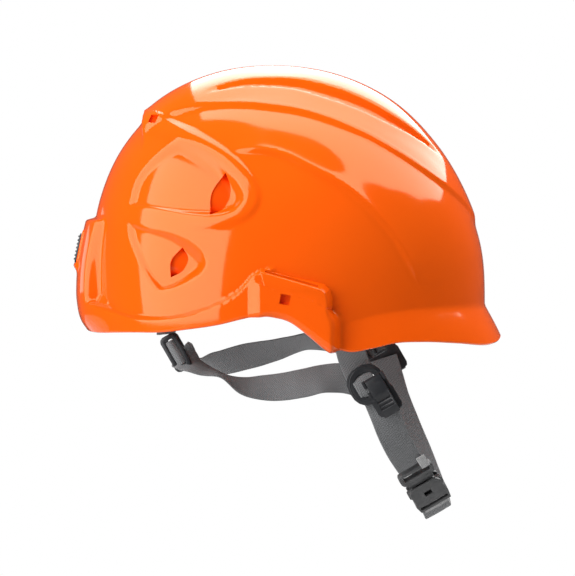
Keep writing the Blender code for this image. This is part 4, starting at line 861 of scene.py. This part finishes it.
def boss_cap(name, side):
    """Crisp upper part of the boss: its face, sloped top and front edge."""
    face = [(-5.0, 21.9), (33.2, 10.9), (36.0, 8.6), (37.0, 4.5), (37.4, 0.0), (36.0, -4.0),
            (-1.0, -1.0), (-2.5, 12.0)]
    root = [(-6.0, 26.4), (35.2, 15.4), (39.6, 11.6), (41.0, 5.0), (41.0, 0.0), (38.0, -5.0),
            (-1.0, -1.0), (-3.0, 14.0)]
    rings = [[(x, side * y, z) for x, z in shape]
             for y, shape in ((BOSS_ROOT_Y, root), (BOSS_FACE_Y - 0.1, face))]
    return bevelled(add_mesh(name, *loft(rings), FINISH["shell_orange"]), 0.8, 3, 12)


def fine_outer(azimuth, elevation):
    direction, radius, spot, rise = on_dome(azimuth, elevation)
    rise = rise + crest_relief(*spot) + rib_relief(*spot) + crease_relief(*spot)
    rise = rise + vent_relief(*spot, UPPER_VENT) + vent_relief(*spot, LOWER_VENT)
    mask, boss = boss_relief(*spot, radius)
    return direction * (radius + rise * (1 - mask) + boss * mask)[..., None]


def fine_inner(azimuth, elevation):
    direction, radius, _, rise = on_dome(azimuth, elevation)
    return direction * (radius + (rise - SHELL_WALL - vent_hollow(azimuth, elevation)))[..., None]


def pocket_cutter(name, shape, side):
    """Crescent whose floor slopes from its rear edge down to its front wall."""
    front, rear = (spline(stretch, 12) for stretch in shape)
    share = np.linspace(0.02, 0.98, 25)
    rings = []
    for part in share:
        fx, fz = (np.interp(part, np.linspace(0, 1, len(front)), front[:, k]) for k in (0, 1))
        rx, rz = (np.interp(1 - part, np.linspace(0, 1, len(rear)), rear[:, k]) for k in (0, 1))
        floor_y = side_of_dome(fx, fz) - VENT_DEPTH_FRONT - POCKET_DEPTH
        edge_y = side_of_dome(rx, rz) - VENT_DEPTH_FRONT - 0.6
        rings.append([(fx, side * floor_y, fz), (fx, side * 135.0, fz), (rx, side * 135.0, rz),
                      (rx, side * edge_y, rz)])
    return add_mesh(name, *loft(rings), FINISH["shell_orange"])


def build_shell():
    finish = FINISH["shell_orange"]
    shell = add_mesh("shell_fine", *dome_solid(SHELL_GRID, fine_outer, fine_inner, rim_elevation,
                                               SHELL_INNER_ROWS), finish, 60)
    tall, wide = REAR_PLATE_SIZE
    here = axes_at(REAR_PLATE_SPOT, REAR_PLATE_DOWN, REAR_PLATE_OUT)
    plate_frame = standing("plate_frame", [(rounded_rectangle(tall + grow, wide + grow, 4), level)
                                           for level, grow in PLATE_FRAME], here, finish)
    cut(shell, [boss_cap("cap_left", 1), boss_cap("cap_right", -1), plate_frame], "UNION")
    half = WINDOW_SIDE / 2
    cutters = []
    for side, tag in ((-1, "right"), (1, "left")):
        slot_y = sorted(side * y for y in SLOT_Y)
        cutters.append(block("slot_" + tag, (SLOT_X[0], slot_y[0], SLOT_Z[0]),
                             (SLOT_X[1], slot_y[1], SLOT_Z[1]), finish))
        window_y = sorted(side * y for y in WINDOW_Y)
        window = block("window_" + tag, (-half, window_y[0], -half), (half, window_y[1], half),
                       finish)
        centre = Vector((WINDOW_CENTRE[0], 0, WINDOW_CENTRE[1])) * MM
        window.matrix_world = Matrix.Translation(centre) @ Matrix.Rotation(WINDOW_TURN, 4, "Y")
        cutters.append(window)
        cutters.append(pocket_cutter("upper_pocket_" + tag, UPPER_POCKET, side))
        cutters.append(pocket_cutter("lower_pocket_" + tag, LOWER_POCKET, side))
        x, y, z = CLIP_WINDOW_CENTRE
        long = CLIP_WINDOW_LENGTH / 2
        clip = block("clip_" + tag, (-long, -half, -CLIP_WINDOW_DEPTH), (long, half, 12.0), finish)
        clip.matrix_world = axes_at((x, side * y, z), CLIP_FORWARD,
                                    (CLIP_OUT[0], side * CLIP_OUT[1], CLIP_OUT[2]))
        cutters.append(clip)
    opening = rounded_rectangle(tall + 0.7, wide + 0.7, 3.3)
    cutters.append(standing("plate_pocket", [(opening, -2.2), (opening, 4.0)], here, finish))
    cut(shell, cutters)
    shell.data.set_sharp_from_angle(angle=math.radians(40))
    piece(shell, "helmet", "shell_orange", "shell")


# -------- straps
def strap(name, route, finish, width=19.0, thickness=1.4, per_span=14):
    """Woven strap through stations of centre and crosswise direction, with its own UV map."""
    stations = spline(route, per_span)
    centre = stations[:, :3]
    forward = np.gradient(centre, axis=0)
    normal = np.cross(forward, stations[:, 3:6])
    normal /= np.linalg.norm(normal, axis=1)[:, None]
    across = np.cross(normal, forward)
    across /= np.linalg.norm(across, axis=1)[:, None]
    steps = np.linalg.norm(np.diff(centre, axis=0), axis=1)
    length = np.concatenate([[0.0], np.cumsum(steps)])
    half, deep = width / 2, thickness / 2
    top = [(v, deep * (0.86 + 0.14 * math.cos(v / half * math.pi)))
           for v in np.linspace(deep - half, half - deep, 11)]
    section = top + [(half - deep * 0.3, deep * 0.6), (half, 0.0), (half - deep * 0.3, -deep * 0.6)]
    section += [(v, -h) for v, h in reversed(top)]
    section += [(deep * 0.3 - half, -deep * 0.6), (-half, 0.0), (deep * 0.3 - half, deep * 0.6)]
    wave = 0.10 * np.sin(length / 5.3 + len(name)) + 0.06 * np.sin(length / 2.1)
    rings = [[spot + side * v + up * (h + lift) for v, h in section]
             for spot, side, up, lift in zip(centre, across, normal, wave)]
    thing = add_mesh(name, *loft(rings), finish, 60)
    weave = thing.data.uv_layers.new(name="weave")
    count = len(section)
    for loop in thing.data.loops:
        ring, place = divmod(loop.vertex_index, count)
        weave.data[loop.index].uv = (length[ring] * MM, section[place][0] * MM)
    return thing


def build_straps():
    web = FINISH["grey_webbing"]
    for name, body, route in (("front_strap_right", "helmet", FRONT_RIGHT_ROUTE),
                              ("front_strap_left", "helmet", FRONT_LEFT_ROUTE),
                              ("rear_strap_right", "helmet", REAR_RIGHT_ROUTE),
                              ("rear_strap_left", "helmet", REAR_LEFT_ROUTE),
                              ("chin_strap_right", "chin_loop", CHIN_RIGHT_ROUTE)):
        piece(strap(name + "_woven", route, web), body, "grey_webbing", name)
    left = strap("chin_strap_left_woven", CHIN_LEFT_ROUTE, web)
    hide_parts("chin_strap_left_upper", "chin_strap_left_lower")
    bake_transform(left)
    for tag, side, top in (("a", 1, 111.0), ("b", -1, 114.0)):
        stations = []
        for step in np.linspace(-1, 1, 9):
            azimuth = math.radians(side * (CLIP_FRONT if step > 0 else CLIP_REAR - 180))
            reach = CRADLE_REACH_FRONT if step > 0 else -CRADLE_REACH_REAR
            reach *= abs(math.sin(step * math.pi / 2))
            stations.append((reach * math.cos(azimuth), reach * math.sin(azimuth),
                             CRADLE_Z + (top - CRADLE_Z) * math.cos(step * math.pi / 2) ** 1.25,
                             -math.sin(azimuth), math.cos(azimuth), 0))
        crown = strap(f"crown_strap_{tag}_woven", stations, web, 18.0, 1.4, 8)
        piece(crown, "helmet", "grey_webbing", "crown_strap_" + tag)
    for side, tag, centre, reach in ((-1, "right", RIGHT_LOOP, REAR_ANCHORS[0]),
                                     (1, "left", LEFT_LOOP, REAR_ANCHORS[1])):
        build_rear_webbing(side, tag, Vector(centre), reach, web)
        build_divider_webbing(side, tag, web)
    build_buckle_webbing()


def build_rear_webbing(side, tag, centre, reach, web):
    """Tab up to the rear anchor, and the strap seen through the slide frame's window."""
    long_way, out = Vector(LOOP_LONG), Vector((0, side, 0))
    short_way = long_way.cross(out)
    top = centre - long_way * 13.6 - out * 1.8
    anchor = centre - long_way * 15.0
    anchor.y, anchor.z = side * reach, REAR_ANCHOR_Z
    tab = strap(f"rear_tab_{tag}_woven",
                [(*top, 1, side * 0.2, 0.3), (*((top + anchor) / 2), 1, side * 0.4, 0.1),
                 (anchor.x, anchor.y, anchor.z - 4.6, 1, side * REAR_ANCHOR_TURN, 0)],
                web, 12.0, 1.4, 8)
    piece(tab, "helmet", "grey_webbing", "rear_tab_" + tag)
    route = [(*(centre + short_way * step + out * lift), *long_way)
             for step, lift in ((-3.4, -2.6), (-2.4, 0.4), (0.0, 1.9), (2.4, 0.4), (3.4, -2.6))]
    piece(strap(f"rear_loop_web_{tag}", route, web, 17.0, 1.3, 6), "helmet", "grey_webbing")


def build_divider_webbing(side, tag, web):
    """Fold of strap that stands out of the divider's oval window."""
    ring = Vector(RIGHT_RING if side < 0 else LEFT_RING)
    down, out = Vector(DOWN), Vector((0, side, 0))
    route = [(*(ring + down * step - Vector(ACROSS) * 0.6 + out * lift), *ACROSS)
             for step, lift in ((-7.5, -1.2), (-6.0, 0.4), (-2.4, 1.9), (2.4, 1.9), (6.0, 0.4),
                                (7.5, -1.2))]
    piece(strap(f"divider_fold_{tag}", route, web, 14.0, 1.4, 6), "chin_loop", "grey_webbing")


def build_buckle_webbing():
    """Strap turned round the buckle's end bar, in pale webbing as painted light on the lit strap,
    and the pale tag above its frame.
    """
    down, out = Vector(BUCKLE_DOWN), Vector(BUCKLE_OUT)
    across = out.cross(down)
    top = Vector(BUCKLE_TOP)
    route = [(*(top + down * along + out * lift), *across)
             for along, lift in ((35.0, 1.6), (39.0, 2.2), (42.0, 1.8), (43.2, -0.2),
                                 (42.0, -2.2), (39.0, -2.8))]
    # The end loop is the grey strap drawn in pale webbing: painted light on its lit side.
    piece(strap("buckle_end_loop", route, FINISH["pale_tag_and_lit_strap_webbing"], 18.0, 1.5, 6),
          "buckle_socket", "grey_webbing")
    route = [(*(top + down * along + across * 8.2 + out * lift), *across)
             for along, lift in ((-8.5, 1.8), (-4.5, 2.6), (-1.5, 3.0), (1.6, 2.6))]
    piece(strap("strap_end_tag", route, FINISH["pale_tag_and_lit_strap_webbing"], 6.0, 1.2, 4),
          "chin_loop", "grey_webbing")


# -------- liner and pads
def build_liner():
    """Foam liner: the CAD solid made smooth, with air channels pressed into its inner face."""
    liner = remeshed("foam_liner", "foam_liner_fine", FINISH["liner_foam"], 2.4, 8)
    points = vertex_points(liner)
    outward = points / np.linalg.norm(points, axis=1)[:, None]
    depth = np.zeros(len(points))
    for line in LINER_CHANNELS:
        away = np.abs(points[:, 1] - line)
        depth = np.maximum(depth, CHANNEL_DEPTH * (1 - ramp(3.0, 5.5, away)))
    depth = depth * ramp(60, 75, points[:, 2]) * inward_share(liner, outward)
    moved(liner, points + outward * depth[:, None])
    liner.data.shade_smooth()
    piece(liner, "helmet", "liner_foam", "foam_liner")


STUFFING_FRAMES, STUFFING_PRESSURE = 14, 4.0


def stuffed(node, body, voxel, reach, seams, outward_of):
    """Pad: its plain solid remeshed, blown up by cloth simulation, then drawn in at seams."""
    pad = remeshed(node, node + "_soft", FINISH["pad_fabric"], voxel, 4)
    rest = vertex_points(pad)
    blown = rest
    cloth = pad.modifiers.new("stuffing", "CLOTH")
    cloth.settings.quality = 6
    cloth.settings.mass = 0.2
    cloth.settings.use_pressure = True
    cloth.settings.uniform_pressure_force = STUFFING_PRESSURE
    cloth.settings.effector_weights.gravity = 0.0
    for step in range(1, STUFFING_FRAMES + 1):
        scene.frame_set(step)
    settle(pad)
    blown = vertex_points(pad)
    scene.frame_set(1)
    move = blown - rest
    size = np.linalg.norm(move, axis=1)[:, None]
    points = rest + move * np.minimum(1.0, reach / np.maximum(size, 1e-6))
    outward = outward_of(points)
    moved(pad, points + outward * (seams(points) * inward_share(pad, outward))[:, None])
    finer = pad.modifiers.new("finer", "SUBSURF")
    finer.levels = 1
    settle(pad)
    pad.data.shade_smooth()
    return piece(pad, body, "pad_fabric", node)


def seam(distance, depth, half=1.8):
    return depth * np.exp(-(distance / half) ** 2)


def from_band_centre(points):
    flat = (points - np.array([BAND_CENTRE_X, 0, 0])) * np.array([1, 1, 0])
    return flat / np.linalg.norm(flat, axis=1)[:, None]


def band_seams(spacing, start, low, high):
    """Upright seams every so many degrees round the band, and one along each long edge."""
    def depth(points):
        x, y = points[:, 0] - BAND_CENTRE_X, points[:, 1]
        turn = np.degrees(np.arctan2(y, x)) - start
        away = np.abs((turn + spacing / 2) % spacing - spacing / 2) * np.radians(1) * 88
        edge = np.minimum(np.abs(points[:, 2] - low), np.abs(points[:, 2] - high))
        return np.maximum(seam(away, 1.6), seam(edge, 1.0, 1.2))
    return depth


def crown_seams(points):
    x, y = points[:, 0] - 2, points[:, 1]
    away = np.minimum(np.abs(x + y), np.abs(x - y)) / math.sqrt(2)
    ring = np.abs(np.hypot(x / 31, y / 28) - 0.83) * 29
    return np.maximum(seam(away, 1.4), seam(ring, 1.2, 1.4))


def upward(points):
    return np.zeros_like(points) + np.array([0.0, 0.0, 1.0])


def build_pads():
    stuffed("brow_pad", "helmet", 1.6, 0.9, band_seams(18, 9, BAND_Z[0] + 2.5, BAND_Z[1] - 1.5),
            from_band_centre)
    stuffed("nape_pad", "nape_cradle", 1.5, 0.8, band_seams(12, 6, -0.5, 22.5), from_band_centre)
    stuffed("crown_pad", "helmet", 1.6, 0.9, crown_seams, upward)


# -------- hard pieces
def sunk_lines(name, here, spots, size, finish):
    """Row of small blocks at spots in the plane of a placement, to cut out of a piece."""
    made = []
    for number, (x, y, low, high) in enumerate(spots):
        shape = [(x + a, y + b) for a, b in rounded_rectangle(*size, min(size) * 0.48, 4)]
        made.append(standing(f"{name}_{number}", [(shape, low), (shape, high)], here, finish))
    return made


def bead(name, shape, radius, height, finish, here):
    """Round-section rim along a closed outline, standing on a plate."""
    shape = np.array(shape, float)
    ahead = np.roll(shape, -1, axis=0) - np.roll(shape, 1, axis=0)
    ahead /= np.linalg.norm(ahead, axis=1)[:, None]
    side = np.stack([ahead[:, 1], -ahead[:, 0]], axis=1)
    count, around = len(shape), 10
    points = []
    for (x, y), (nx, ny) in zip(shape, side):
        for k in range(around):
            turn = 2 * math.pi * k / around
            points.append((x + nx * radius * math.cos(turn), y + ny * radius * math.cos(turn),
                           height + radius * math.sin(turn)))
    faces = [(i * around + k, i * around + (k + 1) % around,
              (i + 1) % count * around + (k + 1) % around, (i + 1) % count * around + k)
             for i in range(count) for k in range(around)]
    return settle(add_mesh(name, points, faces, finish, 70), here)


def oval(length, width, count=48):
    return [(length / 2 * math.cos(2 * math.pi * k / count),
             width / 2 * math.sin(2 * math.pi * k / count)) for k in range(count)]


def build_band():
    grey, black = FINISH["grey_plastic"], FINISH["black_plastic"]
    band = refined("head_band", "helmet", "grey_plastic", grey, 0.35)
    cutters = []
    for side in (-1, 1):
        for turn in (80, 86, 92, 98, 104, 110):
            angle = math.radians(side * turn)
            spot = (BAND_CENTRE_X + BAND_RADIUS * math.cos(angle), BAND_RADIUS * math.sin(angle),
                    BAND_Z[0] + 11)
            here = axes_at(spot, (0, 0, 1), (math.cos(angle), math.sin(angle), 0))
            cutters += sunk_lines(f"band_slot_{side}_{turn}", here, [(0, 0, -4, 6)], (12, 2.6),
                                  grey)
    cut(band, cutters)
    for side, tag in ((-1, "right"), (1, "left")):
        refined("band_tail_" + tag, "tail_" + tag, "grey_plastic", grey, 0.15, 1)
        refined("nape_yoke_" + tag, "nape_cradle", "black_plastic", black, 0.5)
        refined("pivot_rivet_" + tag, "helmet", "steel", FINISH["steel"], 0.4)
        refined("lever_pin_" + tag, "chin_loop", "steel", FINISH["steel"], 0.25)
    refined("nape_tray", "nape_cradle", "grey_plastic", grey, 0.4)
    refined("nape_cover", "nape_cradle", "black_plastic", black, 0.6, 3)
    refined("ratchet_knob", "ratchet_knob", "black_plastic", black, 0.35)
    refined("ratchet_pinion", "ratchet_knob", "grey_plastic", grey, 0.1, 1)
    refined("knob_screw", "ratchet_knob", "steel", FINISH["steel"], 0.2)
    refined("ratchet_detent_ring", "nape_cradle", "steel", FINISH["steel"], 0.2)
    for place in ("front_left", "front_right", "rear_left", "rear_right"):
        refined("anchor_clip_" + place, "helmet", "grey_plastic", grey, 0.5)


def build_rear_plate():
    finish = FINISH["black_plastic"]
    plate = refined("rear_lamp_plate", "helmet", "black_plastic", finish, 0.35)
    here = axes_at(REAR_PLATE_SPOT, REAR_PLATE_DOWN, REAR_PLATE_OUT)
    rows = [(x, 0, -0.5, 1.2) for x in np.linspace(-7.5, 7.5, 7)]
    cut(plate, sunk_lines("grip", here, rows, (1.2, 38.0), finish), "UNION")


def build_harness_hardware():
    grey, black = FINISH["grey_plastic"], FINISH["black_plastic"]
    for side, tag, loop, ring in ((-1, "right", RIGHT_LOOP, RIGHT_RING),
                                  (1, "left", LEFT_LOOP, LEFT_RING)):
        out = (0, side, 0)
        refined("front_anchor_" + tag, "helmet", "grey_plastic", grey, 0.5, 3)
        refined("rear_anchor_" + tag, "helmet", "grey_plastic", grey, 0.5, 3)
        refined("rear_loop_" + tag, "helmet", "black_plastic", black, 0.8, 3)
        refined("divider_" + tag, "chin_loop", "black_plastic", black, 0.7, 3)
        rim = bead("divider_rim_" + tag, oval(22.8, 21.8), 0.55, 1.1, black,
                   axes_at(ring, DOWN, out))
        piece(rim, "chin_loop", "black_plastic")
        lever = refined("cam_lever_" + tag, "cam_lever_" + tag, "black_plastic", black, 1.0, 3)
        pin = (Vector(ring) + Vector(DOWN) * -0.5 + Vector(ACROSS) * LEVER_SHIFT
               + Vector(out) * LEVER_PIN_HEIGHT)
        rows = [(x, 0, 2.3, 6.0) for x in (14.0, 16.6, 19.2)]
        cut(lever, sunk_lines("lever_grip_" + tag, axes_at(pin, DOWN, out), rows, (0.9, 9.0),
                              black))
    buckle = FINISH["buckle_plastic"]
    refined("buckle_plug", "chin_loop", "black_plastic", buckle, 0.7, 3)
    refined("buckle_socket", "buckle_socket", "black_plastic", buckle, 1.1, 3)
    for place in ("front", "back"):
        refined("buckle_prong_" + place, "buckle_prong_" + place, "black_plastic", buckle, 0.5, 2)


build_camera()
build_studio()
build_shell()
build_liner()
build_pads()
build_band()
build_rear_plate()
build_straps()
build_harness_hardware()
